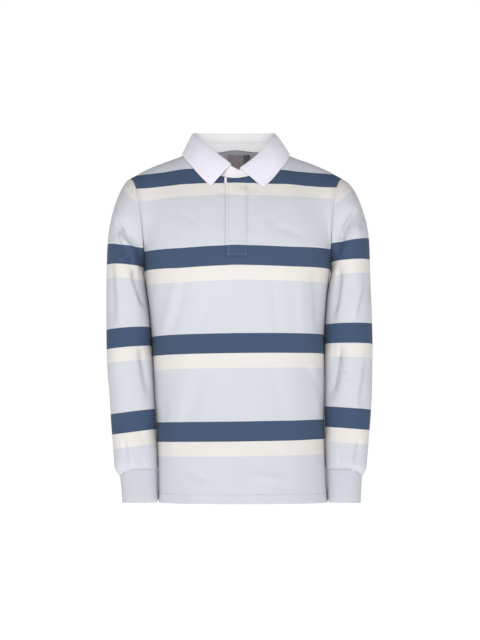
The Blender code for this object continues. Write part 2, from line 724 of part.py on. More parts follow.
placket = placket_grid()
loop = neck_loop(front, back)
stand = stand_grid(loop)
cloth_object("placket", placket, PLACKET_CLOTH, PALE_BLUE)
cloth_object("placket_tape", tape_grid(), TAPE_CLOTH, WHITE)
cloth_object("collar_stand", stand, STAND_CLOTH, WHITE, flip=True)
lift_off = lifter(((front, False), (back, True), (placket, False), (stand, True)))
cloth_object("collar", collar_grid(loop, lift_off), COLLAR_CLOTH, WHITE)
for name, left, right, bottom in LABELS:
    cloth_object(name, label_grid(left, right, bottom), LABEL_CLOTH, TAUPE)
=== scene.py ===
"""The finish of the long-sleeved rugby polo shirt: fine cloth over the part's own forms.

Metres, +Z up, the front of the shirt faces -Y. left and right are those of the front view.
"""
import math

import bpy
import numpy as np
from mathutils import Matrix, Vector
from mathutils.bvhtree import BVHTree


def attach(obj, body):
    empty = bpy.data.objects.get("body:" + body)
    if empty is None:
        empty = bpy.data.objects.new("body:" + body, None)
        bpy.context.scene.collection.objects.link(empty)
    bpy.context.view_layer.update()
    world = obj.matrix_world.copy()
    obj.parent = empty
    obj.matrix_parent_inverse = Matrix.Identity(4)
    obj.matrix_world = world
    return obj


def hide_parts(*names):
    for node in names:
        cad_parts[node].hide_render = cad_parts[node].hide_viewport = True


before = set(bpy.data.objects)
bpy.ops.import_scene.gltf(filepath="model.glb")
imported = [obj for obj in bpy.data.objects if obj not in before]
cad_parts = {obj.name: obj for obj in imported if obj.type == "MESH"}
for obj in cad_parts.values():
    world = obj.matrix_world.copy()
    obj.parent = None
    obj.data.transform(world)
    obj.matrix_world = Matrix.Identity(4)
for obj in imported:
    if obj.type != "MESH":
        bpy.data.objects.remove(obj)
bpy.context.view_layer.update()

HAND_NAME = {-1: "left", 1: "right"}
TURN = 2 * math.pi
MILLIMETRE = 0.001
TINY = 1e-6
SOLVE_STEPS = 40
FIND_STEPS = 6

# ---- sizes, as in the part, in metres ----
CLOTH = 0.0016
CUFF_CLOTH = 0.0022
COLLAR_CLOTH = 0.0020
STAND_CLOTH = 0.0020
LABEL_CLOTH = 0.0010
TAPE_CLOTH = 0.0010
SEAM_GAP = 0.0003
HEM_Z = -0.686
UNDERARM_Z = -0.225
RIDGE_Y = -0.004          # the shoulder seams
SHOULDER_HALF = 0.2145
NECK_S = 0.40             # the panel column that ends at the side of the neck
NECK_HALF = 0.0858        # neck hole seen from above: half width, reach in front, reach behind
NECK_FRONT = -0.0845
NECK_BACK = 0.0725
SLEEVE_SQUARE = 2.2
SEAM_FOLLOW = 3.0         # rings over which a sleeve leaves the armhole's own curve
CUFF_TOP_OUT = -0.6380
CUFF_TOP_IN = -0.6205

# ---- the scene's own sizes ----
PLACKET_CLOTH = 0.0011    # thinner than in the part, to keep clear of the front's folds
CUFF_HANG = 6.0           # how close to its outer end a cuff's seam drops
CUFF_BOTTOM = HEM_Z - 0.0005
INNER_SQUARE = 0.8        # how much squarer a sleeve is beside the body
INNER_SHARE = 2.0         # and how soon, from the middle of its ring
NESTLE_CLEAR = 0.0005     # from a sleeve's inner side to the body that it hangs against
CUFF_CLEAR = 0.0009       # the same for a cuff
NESTLE_FROM = -0.222      # the height where sleeves start to come up against the body
NESTLE_OVER = 0.035       # and over what height
NESTLE_REACH = 0.45       # the share of the sleeve's width that gives way
NOTCH = 0.012             # height over which cuff and hem part at the bottom
NOTCH_SHARE = 0.35        # what is left there of a cuff's move to the body, before smoothing
NECK_LOWEST = 0.2         # the share of a panel's curve that is never cut by the neck
PANEL_HIGH = 0.95         # the share of it that placket and labels lie on
SLOPE_STEP = 0.01

# ---- grids ----
GRID = 0.0032             # the usual distance between a cloth's points
SLEEVE_GRID = 0.00288
CUFF_GRID = 0.002
PLACKET_GRID = (0.0022, 0.0028)                   # across and up
AROUND = 200              # points round a sleeve or cuff
LAST_RING = 15.0
RING_TRIES = 301
FINE = (0.0, 0.0006, 0.0013, 0.0021, 0.0031)      # places beside a seam or a row of stitches
FINE_MARGIN = 0.4         # the share of a step from those to the first even place
RIM = 0.0004              # rounding of cut edges
FINE_RIM = 0.0002
HALF_RING = 0.224         # the cloth's length from the middle of a panel to its side
PANEL_RISE = 0.23         # and from the underarm to the shoulder

# ---- seams, hems and stitches ----
SEAM_DEEP = 0.0006        # how far the cloth dips in at a seam, and over what distance
SEAM_REACH = 0.0021
UNDER_SEAM_SHARE = 0.6    # the same for the seam down a sleeve's inner side
UNDER_SEAM_REACH = 0.00273
ROW_DEEP = 0.0003         # the same at a row of stitches
ROW_REACH = 0.0009
HEM_ROW_SHARE = 0.8
ARMHOLE_FADE = 0.012      # height over which the armhole's rows start, above the underarm
HEM_UP = 0.0190           # from the lower edge to the hem's stitches
HEM_THICK = 0.0002        # how much the doubled hem stands out
HEM_STEP = 0.002
CORNER_RISE = 0.0070      # how far the hem rises at the body's sides, and over what distance
CORNER_REACH = 0.0100
CORNER_FADE = 0.042       # the height over which that ends
BODY_STRIP = 0.02         # the strip of a sleeve beside the body, which has no ripples
BODY_STRIP_EDGE = 0.3
ARMHOLE_ROWS = (0.0024, 0.0076)       # from the armhole seam to its rows of stitches
ROWS_ABOVE = 0.004        # where these start above the underarm
SHOULDER_ROW = 0.0045
ROWS_PAST_NECK = 0.03
CUFF_ROW = 0.0030
PLACKET_LINES = (-0.0142, 0.0193)     # x of its two upright rows
PLACKET_CROSS = (-0.1795, -0.2050)    # z of its cross rows
LEAF_ROW = 0.0048         # from the collar's edge to its row
LEAF_ROW_FROM = 0.25      # the share of the fall where its end rows start
STITCH = 0.0024           # a stitch's length, and the distance from one to the next
STITCH_PITCH = 0.0033
STITCH_ARCH = 2.2         # in thread radii: the arch's height, and how far its ends are sunk
STITCH_SUNK = 1.3
STITCH_STEP = 0.0005      # to the places that give a stitch's direction
THREAD = 0.00021          # the thread's radius
THREAD_SIDES = 6
THREAD_RINGS = 5

# ---- ripples along seams: strength, distance from the seam, and reach ----
RIPPLE = 0.00030
RIPPLE_RATES = (720.0, 455.0)
EVEN_EDGE = 0.003         # beside the cuff seam, where the ripples die out
SIDE_RIPPLES = (1.0, 0.004, 0.005)
HEM_RIPPLES = (0.8, HEM_UP, 0.007)
ARMHOLE_RIPPLES = (1.0, 0.003, 0.006)
GATHER_RIPPLES = (1.6, 0.004, 0.008)
GATHER_RATE = 0.8         # the sleeve's gathers at the cuff, against the other ripples
CUFF_RIPPLES = (1.0, 0.004, 0.006)
PLACKET_RIPPLES = (0.5, 0.0, 0.010)
SECOND_TURN = 2.1         # the second ripple's shift, against the first one's

# ---- the waves of hanging cloth ----
BROAD_WAVE = (0.00045, 0.087, 0.35, 0.41)         # height, distance apart, sway, and the sway's own
NARROW_WAVE = (0.00022, 0.053, 0.25, 0.27)
LEVEL_WAVE = (0.00025, 0.19, 0.31)                # height, distance apart, and slant
CUFF_WAVE = (0.00035, 150.0, 0.02)                # height, rate, and where it is full
WAVE_TURN = {"front": 0.7, "back": 2.9, "sleeve_left": 0.3, "sleeve_right": 2.3}
WAVE_ROUND = 1.6          # how near a piece's sides the waves keep their height
WAVE_BARE = 0.2


NO_UNIT = ("s", "ring", "hang", "square")


class Sections:
    """A table with named columns, read smoothly between its rows by its first column.

    Its lengths are in millimetres, and in metres when read.
    """

    def __init__(self, columns, rows, level=False):
        table = np.array(rows) * [1.0 if name in NO_UNIT else MILLIMETRE for name in columns]
        self.keys = table[:, 0]
        self.columns = {name: table[:, k] for k, name in enumerate(columns)}
        self.slopes = {}
        for name, values in self.columns.items():
            slopes = np.empty(len(values))
            slopes[1:-1] = (values[2:] - values[:-2]) / (self.keys[2:] - self.keys[:-2])
            slopes[0] = 0.0 if level else (values[1] - values[0]) / (self.keys[1] - self.keys[0])
            slopes[-1] = (values[-1] - values[-2]) / (self.keys[-1] - self.keys[-2])
            self.slopes[name] = slopes

    def at(self, name, key):
        key = np.asarray(key, float)
        k = np.clip(np.searchsorted(self.keys, key) - 1, 0, len(self.keys) - 2)
        span = self.keys[k + 1] - self.keys[k]
        t = np.clip((key - self.keys[k]) / span, 0.0, 1.0)
        a, b = self.columns[name][k], self.columns[name][k + 1]
        ma, mb = self.slopes[name][k] * span, self.slopes[name][k + 1] * span
        return (a * (1 + 2 * t) + ma * t) * (1 - t) ** 2 + (b * (3 - 2 * t) - mb * (1 - t)) * t * t


# As in the part, but for a sleeve's hang in its last three rings. hang says how close to its outer
# end a ring drops, square how far it is from an ellipse, which has 2.
TRUNK = Sections(
    ("z", "left", "right", "front", "back", "square"),
    (
        (-686, -153.5, 181.5, -119.5,   106,  2.4),
        (-600, -155.5, 177.5, -117.5,   101,  2.4),
        (-520,   -159, 175.7, -116.5,  94.5,  2.4),
        (-440,   -163, 175.8, -117.5,  91.5,  2.4),
        (-360, -168.5, 176.3,   -120,    97,  2.4),
        (-300, -173.5,   179, -122.5, 104.5,  2.4),
        (-260,   -179, 183.5,   -124,   109, 2.38),
        (-225,   -183,   190, -125.5,   112, 2.35),
    ),
)
SHOULDER = Sections(
    ("s", "z"),
    ((0.4, 18), (0.52, 4), (0.68, -8.5), (0.84, -22.5), (1, -41)),
)
PANEL_COLUMNS = ("s", "low_x", "low_y", "low_z", "top_x", "top_y", "top_z", "crown")
FRONT_PANEL = Sections(
    PANEL_COLUMNS,
    (
        (   0,    0, -10, 95,     0, -66, -33, 22),
        ( 0.2,   -2, -10, 92,     0, -62, -22, 15),
        ( 0.4,   -4, -11, 85,     0, -56,   0,  0),
        ( 0.7,   -8, -24, 72,    -3, -52,   0,  0),
        (0.86,   -8, -48, 48,   -12, -60,   0,  0),
        (   1, -5.5, -85, 20, -25.5, -70,   0,  0),
    ),
    level=True,
)
BACK_PANEL = Sections(
    PANEL_COLUMNS,
    (
        (   0,  0, 12, 95,   0, 122, -15, 57),
        ( 0.2, -2, 12, 92,   0, 112, -10, 38),
        ( 0.4, -4, 14, 85,   0,  86,   0,  0),
        ( 0.7, -8, 28, 72,  -3,  73,   0,  0),
        (0.86, -8, 52, 50, -10,  72,   0,  0),
        (   1, -4, 95, 20, -20,  80,   0,  0),
    ),
    level=True,
)
SLEEVE = Sections(
    ("ring", "out_left", "in_left", "out_right", "in_right", "z_out", "z_in", "front", "back",
     "hang"),
    (
        ( 0, 214.5,   183, 214.5,   190,  -41,   -225,   -60,   70,   1),
        ( 1, 223.5, 184.2,   227, 191.1,  -50, -228.5,   -64,   72,   1),
        ( 2, 233.5, 184.2,   240, 190.7,  -68, -232.5,   -67,   73,   1),
        ( 3,   243, 183.6,   251, 189.5,  -95, -238.5,   -69, 73.5,   1),
        ( 4, 251.5, 182.4,   261, 187.6, -127,   -248,   -70,   73,   1),
        ( 5, 256.5, 180.7, 266.5, 185.2, -165,   -261,   -70,   72,   1),
        ( 6, 258.5,   178,   268,   183, -210,   -280,   -69,   70,   1),
        ( 7,   259, 174.7, 269.5, 180.4, -260,   -306,   -68,   67,   1),
        ( 8, 258.7, 171.7, 271.2, 178.6, -315,   -340,   -67,   63,   1),
        ( 9,   258, 168.7, 272.2, 177.7, -370,   -381,   -66,   58,   1),
        (10, 255.8, 165.4, 271.5, 177.4, -425,   -427, -64.5,   52,   1),
        (11,   251, 162.7, 269.8, 177.3, -478,   -477, -62.5,   44,   1),
        (12, 247.5, 160.4,   266, 177.4, -530,   -527, -60.5,   36,   1),
        (13,   243, 158.4, 261.5, 178.6, -580,   -575, -58.5,   28, 1.5),
        (14,   240, 157.5,   258, 180.1, -617,   -606,   -57,   21, 3.4),
        (15,   229, 157.2,   249, 181.5, -638, -620.5,   -50,    9,   6),
    ),
)
CUFF = Sections(
    ("z", "out_left", "in_left", "out_right", "in_right", "front", "back"),
    (
        (-686.5, 224.5,   158, 246, 184.2,   -50, 6),
        (  -660,   226, 157.3, 247, 182.8, -50.5, 7),
        (  -629,   229, 157.2, 249, 181.5,   -50, 9),
    ),
)
COLLAR = Sections(
    ("s", "roll_x", "roll_y", "roll_z", "edge_x", "edge_y", "edge_z", "inner", "bulge"),
    (
        (  0, -10, -79, -20.5,    -50, -96, -66,  4.5, 0),
        (0.1, -36, -57,     3,    -72, -76, -43,    6, 0),
        (0.2, -66, -22,    33,    -93, -42, -18,   11, 1),
        (0.3, -86,  25,    56, -100.5,  -2,  -4,   16, 1),
        (0.4, -66,  62,    63,    -83,  65,   6,   19, 3),
        (0.5,  -3,  77,  65.5,     -2,  95,   0, 20.5, 4),
        (0.6,  60,  62,    63,     80,  65,   6,   19, 3),
        (0.7,  79,  25,    56,     99,  -2,  -4,   16, 1),
        (0.8,  64, -22,    32,     96, -42, -19,   11, 1),
        (0.9,  40, -57,    -1,     77, -76, -45,    6, 0),
        (  1,   8, -79,   -29,     54, -96, -69,  4.5, 0),
    ),
)
ROLL_RADIUS = 0.0034
ROLL_STEPS = 8            # rows from the inner leg's foot to the roll
FALL_TURN = 0.15          # the fall's shape: shares of its length, and of the roll's radius
FALL_MIDDLE = 0.6
FALL_ROUND = 1.6
LEAF_LIFT = 0.0016        # air between the fall's edge and the shirt
STAND_START = -10.0       # degrees from the front, counted over the left shoulder
STAND_END = 375.0
STAND_LAP_FROM = 295.0    # where the outer end starts to move outwards
STAND_LAP_FULL = 340.0
STAND_GAP = 0.0006        # above the panels' neck edge
STAND_TOP_GAP = 0.0001    # below the collar's inner leg

# ---- placket, tape and labels ----
PLACKET_LEFT = -0.0200
PLACKET_RIGHT = 0.0214
PLACKET_SHORT = 0.0012    # from its top to the neck edge
PLACKET_BOTTOM = -0.2080
PLACKET_LEAST = 0.0007    # air under its sewn edge, and what its free edge has beyond that
PLACKET_AIR = 0.0010
PLACKET_SLOPE = 0.0080    # x from which it comes down to its sewn edge
PLACKET_SLOPE_OVER = 0.012
TAPE = (-0.0222, -0.0178, -0.0630, -0.0508)     # left, right, bottom, top
LABEL_TOP = 0.0225
LABEL_AIR = 0.0012        # between a label and the back
NECK_LABEL = (-0.0180, 0.0140, -0.0340)         # left, right, bottom
SIZE_LABEL = (0.0155, 0.0300, -0.0200)

# ---- folds: soft ridges (height above 0) and troughs between two places in the front view ----
# In millimetres. bow bends a fold to the left of its way, width is its reach on that side, far on
# the other. Each group has its piece and the side that it is seen from, -1 for the front.
FOLD_COLUMNS = ("x_0", "z_0", "x_1", "z_1", "bow", "height", "width", "far")
FOLDS = (
    # the part's own
    ("sleeve_left", -1, (
        (-240, -128, -190, -184, 0, -5.5, 12, 12), (-234, -152, -198, -200, 0, 3.5, 12, 12),
        (-238, -136, -210, -212, -3, -3, 12, 12), (-200, -226, -172, -306, 2, -7, 12, 12),
        (-236, -215, -226, -330, 0, 3, 13, 13), (-181, -375, -167, -480, 2, -5, 13, 13),
    )),
    ("sleeve_left", 1, (
        (-240, -120, -188, -200, -4, -5.5, 14, 14), (-214, -215, -180, -310, -4, -6.5, 14, 14),
        (-186, -395, -170, -490, 2, -4, 14, 14),
    )),
    ("sleeve_right", -1, (
        (238, -108, 198, -188, -6, -6, 12, 12), (247, -135, 214, -196, -3, 3.5, 13, 13),
        (199, -232, 184, -335, 0, -7, 12, 12), (243, -232, 226, -325, 3, 4, 16, 16),
        (198, -372, 180, -485, 0, -7, 13, 13),
    )),
    ("sleeve_right", 1, (
        (246, -110, 196, -190, 4, -5.5, 14, 14), (222, -225, 190, -330, 4, -6, 14, 14),
        (196, -390, 181, -470, 0, -4.5, 14, 14),
    )),
    # the left sleeve's finer creases
    ("sleeve_left", -1, (
        (-242, -129, -188, -185, -4, -6.3, 3.6, 9.5), (-240, -143, -196, -190, -3, 3, 6, 6),
        (-195, -177, -180, -230, 3, -5.7, 3.6, 8), (-186, -230, -170.2, -312, 1, -4.2, 3.5, 7),
        (-241, -136, -211.2, -212, -4, -4.5, 3.6, 7), (-215, -183, -204.5, -216, 0, -4, 3.6, 6),
        (-201, -224, -177, -300, 1, -6.3, 3.8, 10), (-212, -233, -190, -302, 2, 2.1, 6, 8),
        (-250, -205, -242, -335, 1, -6.3, 9, 8), (-225, -335, -211, -398, 1, 1.5, 8, 10),
        (-188.1, -378, -170, -470, 1, -5, 4.5, 9), (-196, -530, -180, -570, 1, -1.5, 6, 7),
        (-221, -560, -208.7, -624, 0, -4.7, 4, 7), (-185, -592, -180, -620, 0, -1.4, 4, 5),
        (-233, -598, -227, -625, 0, 1.5, 5, 5),
    )),
    ("sleeve_left", 1, (
        (-236, -128, -193, -193, -3, -2.5, 4, 6), (-243, -150, -214, -220, 2, 2.7, 7, 7),
        (-212, -225, -186, -300, -3, -2.9, 4.5, 9), (-235, -255, -228, -360, 2, 2.5, 11, 10),
        (-198, -356, -174, -428, 1, -2.4, 6, 8), (-226, -405, -200, -432, 1, -1.6, 4, 6),
        (-220, -500, -206, -565, -1, -1.9, 7, 7), (-195, -585, -190, -620, 0, -1.8, 4.5, 5),
        (-221, -590, -215, -622, 0, -1.6, 4.5, 5),
    )),
    # the right sleeve's
    ("sleeve_right", -1, (
        (242, -106, 206, -160, -3, -6, 9, 3.6), (207, -156, 198.5, -200, 0, -5.5, 8, 3.6),
        (257, -112, 246, -150, 0, -4.5, 5, 5), (228, -150, 218, -185, 0, -1.4, 4, 5),
        (202, -218, 188, -312, 1, -6, 11, 4), (211, -238, 199, -318, 0, 2.1, 8, 6),
        (258, -238, 237, -332, 2, -5.7, 11, 5), (204, -374, 185, -470, 2, -5.2, 11, 4.2),
        (260, -400, 244, -500, 1, -5, 11, 6), (202, -425, 229, -430.5, 0, -1.8, 3.5, 3.5),
        (206, -437.5, 227, -442.5, 0, -1.6, 3.5, 3.5), (243, -560, 232, -614, 0, -4.5, 6, 4.2),
        (205, -588, 200, -617, 0, -1.5, 4, 5), (223, -598, 219, -623, 0, 1.4, 4.5, 4.5),
    )),
    ("sleeve_right", 1, (
        (242, -118, 200, -184, 3, -2.6, 6, 4), (249, -148, 223, -216, -2, 2.4, 7, 8),
        (219, -234, 195, -316, 3, -2.9, 9, 4.5), (246, -260, 239, -370, -2, 2.5, 11, 11),
        (208, -350, 186, -420, -1, -2.3, 8, 6), (241, -418, 212, -440, 0, -1.6, 5, 4),
        (239, -510, 227, -570, 1, -1.8, 7, 7), (208, -586, 204, -618, 0, -1.6, 4.5, 5),
        (238, -596, 233, -625, 0, -1.6, 4.5, 5),
    )),
    # the body's soft upright folds
    ("front", -1, (
        (-100, -258, -128, -356, 2, -2.7, 10, 12), (-116, -250, -145, -360, 2, 2.4, 12, 10),
        (-68, -415, -93, -528, 3, -2.7, 14, 16), (-90, -410, -112, -530, 3, 2.1, 14, 14),
        (-49, -268, -71, -356, 1, -1.5, 10, 12), (72, -262, 80, -356, -1, -2.1, 12, 10),
        (57, -258, 64, -352, 0, 1.5, 12, 12), (76, -416, 88, -524, -1, -2.1, 14, 12),
        (127, -248, 129, -356, 0, 2.4, 10, 9), (156, -234, 159, -356, 0, -3, 10, 8),
        (139, -418, 164, -475, 2, -2.4, 7, 8), (147, -405, 160, -525, 4, 2.1, 8, 8),
        (-143, -420, -138, -550, 0, -1.8, 9, 10), (-95.9, -616.5, -53.5, -643, -2, -1.9, 7, 8),
        (25, -632, 90, -640, 2, 1.4, 8, 8), (0, -64, 34, -74, 2, -1.2, 5, 7),
        (4, -79, 42, -85, -1, 1, 6, 6), (-38, -77, -6, -85, 1, -1.3, 5, 6),
        (58.5, -125, 74, -144.5, 0, -1.2, 6, 7), (74, -148, 132.2, -168, 2, -1.5, 6, 8),
        (-118, -115, -78, -142, 2, -1.2, 7, 8),
    )),
    ("back", 1, (
        (-118, -215, -133, -360, 2, -2.7, 11, 12), (-96, -230, -108, -400, 3, 2.4, 13, 12),
        (-52, -330, -64, -530, -4, -2.5, 15, 14), (-17, -250, -21, -430, 2, 1.9, 14, 16),
        (26, -360, 34, -560, 3, -2.3, 14, 16), (64, -240, 75, -380, -2, -2.4, 12, 12),
        (96, -300, 103, -490, 3, 2.3, 13, 12), (130, -220, 142, -390, -2, -2.9, 11, 10),
        (124, -470, 133, -610, 2, -1.9, 11, 12), (-118, -460, -112, -620, 2, 1.9, 12, 11),
        (-140, -105, -70, -130, 4, -1.6, 8, 9), (76, -115, 144, -98, 4, -1.6, 9, 8),
        (-55, -90, 50, -96, -5, -1.4, 9, 10),
    )),
)
FOLD_FREE = 1.5           # rings from the armhole seam to where folds have their full height
FOLD_END = 0.45           # rings to the cuff seam over which they die out
FOLD_TAPER = 0.30         # the share of a fold's length over which each end fades
FOLD_TIP = 0.2            # what is left of its height at its two places
FOLD_ROUND = 1.4          # how near a piece's sides its folds keep their full height
FINE_ROUND = 3.5          # the same for creases that are narrower than this
FINE_FOLD = 0.0105

# ---- stripes ----
STRIPE_REPEAT = 0.1704
NAVY_TOP = -0.1865        # the cloth height at which one navy stripe starts
NAVY_HEIGHT = 0.0386
CREAM_HEIGHT = 0.0286

# In millimetres: the height in space, and the height on the cloth there.
FRONT_CLOTH = (
    (-700, -700), (-186.5, -186.5), (-86.2, -83.3),
    (-60.8, -54.7), (-28.5, -16.1), (20, 47),
)
BACK_CLOTH = (
    (-700, -700), (-186.5, -186.5), (-84.8, -83.3),
    (-57.5, -54.7), (-21.5, -16.1), (30, 47),
)
SAG_X = (-0.17, -0.11, 0.0, 0.11, 0.17)
SAG = (
    # z, and how far the stripes sag there at each of SAG_X, in millimetres
    (-686,    0,    0, 0,  2.2,    5),
    (-527, -1.4,   -1, 0,    2,  4.6),
    (-357, -2.7, -1.7, 0,  0.8,  1.8),
    (-228, -3.6, -4.8, 0,   -2, -0.8),
    (-190,   -5, -4.5, 0, -2.2, -0.5),
    ( -86,   -5,    0, 0,  0.5, -0.5),
    ( -61, -4.5, -0.2, 0, -0.8, -2.8),
    ( -30,   -7,    0, 0,   -3, -5.5),
)
# z, and how much a sleeve's stripes rise there with its outward x
SLEEVE_TILT = {
    -1: ((-0.64, -0.13), (-0.51, -0.125), (-0.3425, -0.07), (-0.2186, 0.08), (-0.181, 0.13),
         (-0.13, 0.40), (-0.090, 0.95), (-0.05, 1.2)),
    1: ((-0.64, -0.08), (-0.50, -0.07), (-0.333, 0.02), (-0.2085, 0.07), (-0.170, 0.16),
        (-0.13, 0.40), (-0.090, 0.95), (-0.05, 1.2)),
}
SLEEVE_MIDDLE = {-1: 0.215, 1: 0.228}
# In millimetres: the height in the sleeve's middle, and the height on the cloth there.
SLEEVE_HEIGHT = {
    -1: ((-660, -677), (-549, -565.9), (-508.5, -527.3), (-381, -395.5),
         (-342.5, -356.9), (-218.6, -225.1), (-181, -186.5), (-78, -83.3),
         (-41, -56)),
    1: ((-660, -685), (-541, -565.9), (-500.4, -527.3), (-373, -395.5),
        (-333.4, -356.9), (-208.5, -225.1), (-170, -186.5), (-70.5, -83.3),
        (-33, -56)),
}

# ---- colours ----
PALE_BLUE = (0.538, 0.549, 0.590)
CUFF_BLUE = (0.500, 0.514, 0.558)
CREAM = (0.648, 0.627, 0.600)
NAVY = (0.047, 0.076, 0.136)
WHITE = (0.785, 0.770, 0.850)
WARM_WHITE = (0.740, 0.720, 0.735)
# painted light: a lighter copy of the white, for the insides of collar and stand, which lie in shade
PAINTED_LIGHT_WHITE = (0.950, 0.935, 0.950)
TAUPE = (0.380, 0.335, 0.340)
DARK_TAUPE = (0.190, 0.165, 0.165)
# the blue thread's own colour, made darker than the pale cloth so that its stitch rows also carry painted
# shade
BLUE_THREAD_AND_SHADE = (0.270, 0.300, 0.370)
WHITE_THREAD = (0.800, 0.790, 0.860)

# ---- surfaces ----
PAINTED_LIGHT_BLEND = 0.003      # over which the collar's colour turns to the lighter white of its inside: painted light
WALE = 0.00085            # width of a knit column
COURSE = 0.00065          # height of a knit row
LOOP_LEAN = 0.45          # how much a loop arches, in courses
COLUMN_HEIGHT = 0.6       # shares of the knit's bump
ROW_HEIGHT = 0.2
FUZZ_HEIGHT = 0.5
STRIPE_EDGE = 0.00015     # how far a stripe's edge follows the loops
FUZZ = 900.0
KNIT_ROWS = (12, 900, 1)  # stretch of the noise that shades the knit, and of that for yarns
YARNS = (500, 60, 1)
THREAD_PLY = 0.0006
KNIT_BUMP = (0.00018, 0.55)           # distance and strength
WEAVE_BUMP = (0.0001, 0.5)
THREAD_BUMP = (0.00004, 0.6)
KNIT_SHADE = 0.035
WEAVE_SHADE = 0.025
THREAD_SHADE = 0.04
LABEL_WEAVE = (0.0003, 0.6)           # thread and roughness

# ---- floor, lights and camera ----
FLOOR_Z = -1.45
FLOOR_REACH = 60.0
FLOOR_GLOW = 1.0
FLOOR_GREY = (0.9, 0.9, 0.9, 1.0)
PURE_WHITE = (1.0, 1.0, 1.0, 1.0)
AMBIENT = 0.12
CAMERA_PLACE = (0.008, -3.4, -0.544)
CAMERA_AIM = (0.008, 0.0, -0.324)
LENS = 95.825
SENSOR = 36.0
LIGHTS_AIM = (0.0, 0.0, -0.35)
LIGHTS = (
    # name, place, size, watts
    ("front", (0.2, -3.4, 0.0), 1.2, 23.0),
    ("high_front", (0.0, -2.2, 1.6), 1.2, 28.0),
    ("front_left", (-2.2, -2.6, 0.1), 1.6, 14.0),
    ("front_right", (2.2, -2.6, -0.2), 1.6, 12.0),
    ("side_left", (-3.2, -0.8, -0.4), 1.6, 8.0),
    ("side_right", (3.2, -0.8, -0.4), 1.6, 2.0),
    ("behind", (0.6, 3.4, 0.2), 1.6, 48.0),
)


# ---- small tools on arrays of points ----

def length(vectors):
    return np.sqrt((vectors * vectors).sum(axis=-1))


def unit(vectors):
    return vectors / np.maximum(length(vectors), 1e-12)[..., None]


def rounded(value, square):
    """A sine or cosine for a ring that is squarer than an ellipse."""
    return np.copysign(np.abs(value) ** (2.0 / square), value)


def smooth(t):
    t = np.clip(t, 0.0, 1.0)
    return t * t * (3 - 2 * t)


def bell(distance, reach):
    return np.exp(-(distance / reach) ** 2)


def spaced(low, high, step, marks=(), unit_length=1.0):
    """Places from low to high, a step apart and finer beside the marks, all in metres.

    unit_length turns them into a parameter that grows by one over that length.
    """
    fine = [mark / unit_length + side * place / unit_length
            for mark in marks for place in FINE for side in (-1, 1)]
    even = np.linspace(low, high, round((high - low) * unit_length / step) + 1)
    reach = (FINE[-1] + step * FINE_MARGIN) / unit_length
    even = [place for place in even if all(abs(place - mark / unit_length) > reach for mark in marks)]
    places = np.array([place for place in fine if low <= place <= high] + even + [low, high])
    return np.unique(np.round(places, 7))


def line_lengths(points):
    """Running length along a line of points."""
    return np.concatenate([[0.0], np.cumsum(length(np.diff(points, axis=0)))])


def read_line(along, steps, values):
    """A line's values at the running lengths along."""
    return np.stack([np.interp(along, steps, column) for column in values.T], axis=-1)


def along_rows(points):
    """Running length from the first row, along axis 0."""
    steps = length(np.diff(points, axis=0))
    return np.concatenate([np.zeros((1, points.shape[1])), np.cumsum(steps, axis=0)])


def across_rows(points):
    return along_rows(points.swapaxes(0, 1)).T


def to_sides(across):
    """The distance to the nearer side, from the running length across each row."""
    return np.minimum(across, across[:, -1:] - across)


def bezier(p0, p1, p2, p3, t):
    t = np.asarray(t)[..., None]
    return p0 * (1 - t) ** 3 + p1 * 3 * t * (1 - t) ** 2 + p2 * 3 * t * t * (1 - t) + p3 * t ** 3


def solve(test, low, high):
    """Where test turns from negative to positive, for arrays."""
    for _ in range(SOLVE_STEPS):
        middle = (low + high) / 2
        below = test(middle) < 0
        low = np.where(below, middle, low)
        high = np.where(below, high, middle)
    return (low + high) / 2


def stack(x, y, z):
    return np.stack(np.broadcast_arrays(x, y, z), axis=-1).astype(float)


def normals_of(points, around=False):
    if around:
        across = np.roll(points, -1, axis=1) - np.roll(points, 1, axis=1)
    else:
        across = np.gradient(points, axis=1)
    return unit(np.cross(across, np.gradient(points, axis=0)))


def uv_of(points, height):
    """The place on the cloth: the running length from each row's middle, and the height."""
    total = across_rows(points)
    return np.stack([total - total[:, total.shape[1] // 2, None], height], axis=-1)


def closed_uv(points, height):
    """The same for a tube, with its first column again at the end."""
    return uv_of(np.concatenate([points, points[:, :1]], axis=1),
                 np.concatenate([height, height[:, :1]], axis=1))


# ---- folds, waves and ripples ----

def fold_height(fold, place):
    """A fold's height at each place of the front view."""
    start = np.array((fold["x_0"], fold["z_0"]))
    run = np.array((fold["x_1"], fold["z_1"])) - start
    t = np.clip((place - start) @ run / (run @ run), 0.0, 1.0)
    sideways = np.array((-run[1], run[0])) / math.hypot(*run)
    bend = fold["bow"] * 4 * t * (1 - t)
    away = place - start - run * t[..., None] - sideways * bend[..., None]
    reach = np.where(away @ sideways > 0, fold["width"], fold["far"])
    fade = np.minimum(1.0, FOLD_TIP + np.minimum(t, 1 - t) / FOLD_TAPER)
    return fold["height"] * bell(length(away), reach) * fade


def fold_push(piece, points, normals):
    """How far a piece's folds move each point along its normal."""
    push = np.zeros(points.shape[:-1])
    for name, seen_from, rows in FOLDS:
        for row in rows if name == piece else ():
            fold = {column: value * MILLIMETRE for column, value in zip(FOLD_COLUMNS, row)}
            rounding = FINE_ROUND if min(fold["width"], fold["far"]) < FINE_FOLD else FOLD_ROUND
            facing = np.clip(normals[..., 1] * seen_from * rounding, 0.0, 1.0)
            push += fold_height(fold, points[..., (0, 2)]) * facing
    return push


def upright_wave(points, wave, turn, sway_turn):
    height, apart, sway, sway_apart = wave
    bend = sway * np.sin(TURN * points[..., 2] / sway_apart + sway_turn)
    return height * np.sin(TURN * (points[..., 0] / apart + bend) + turn)


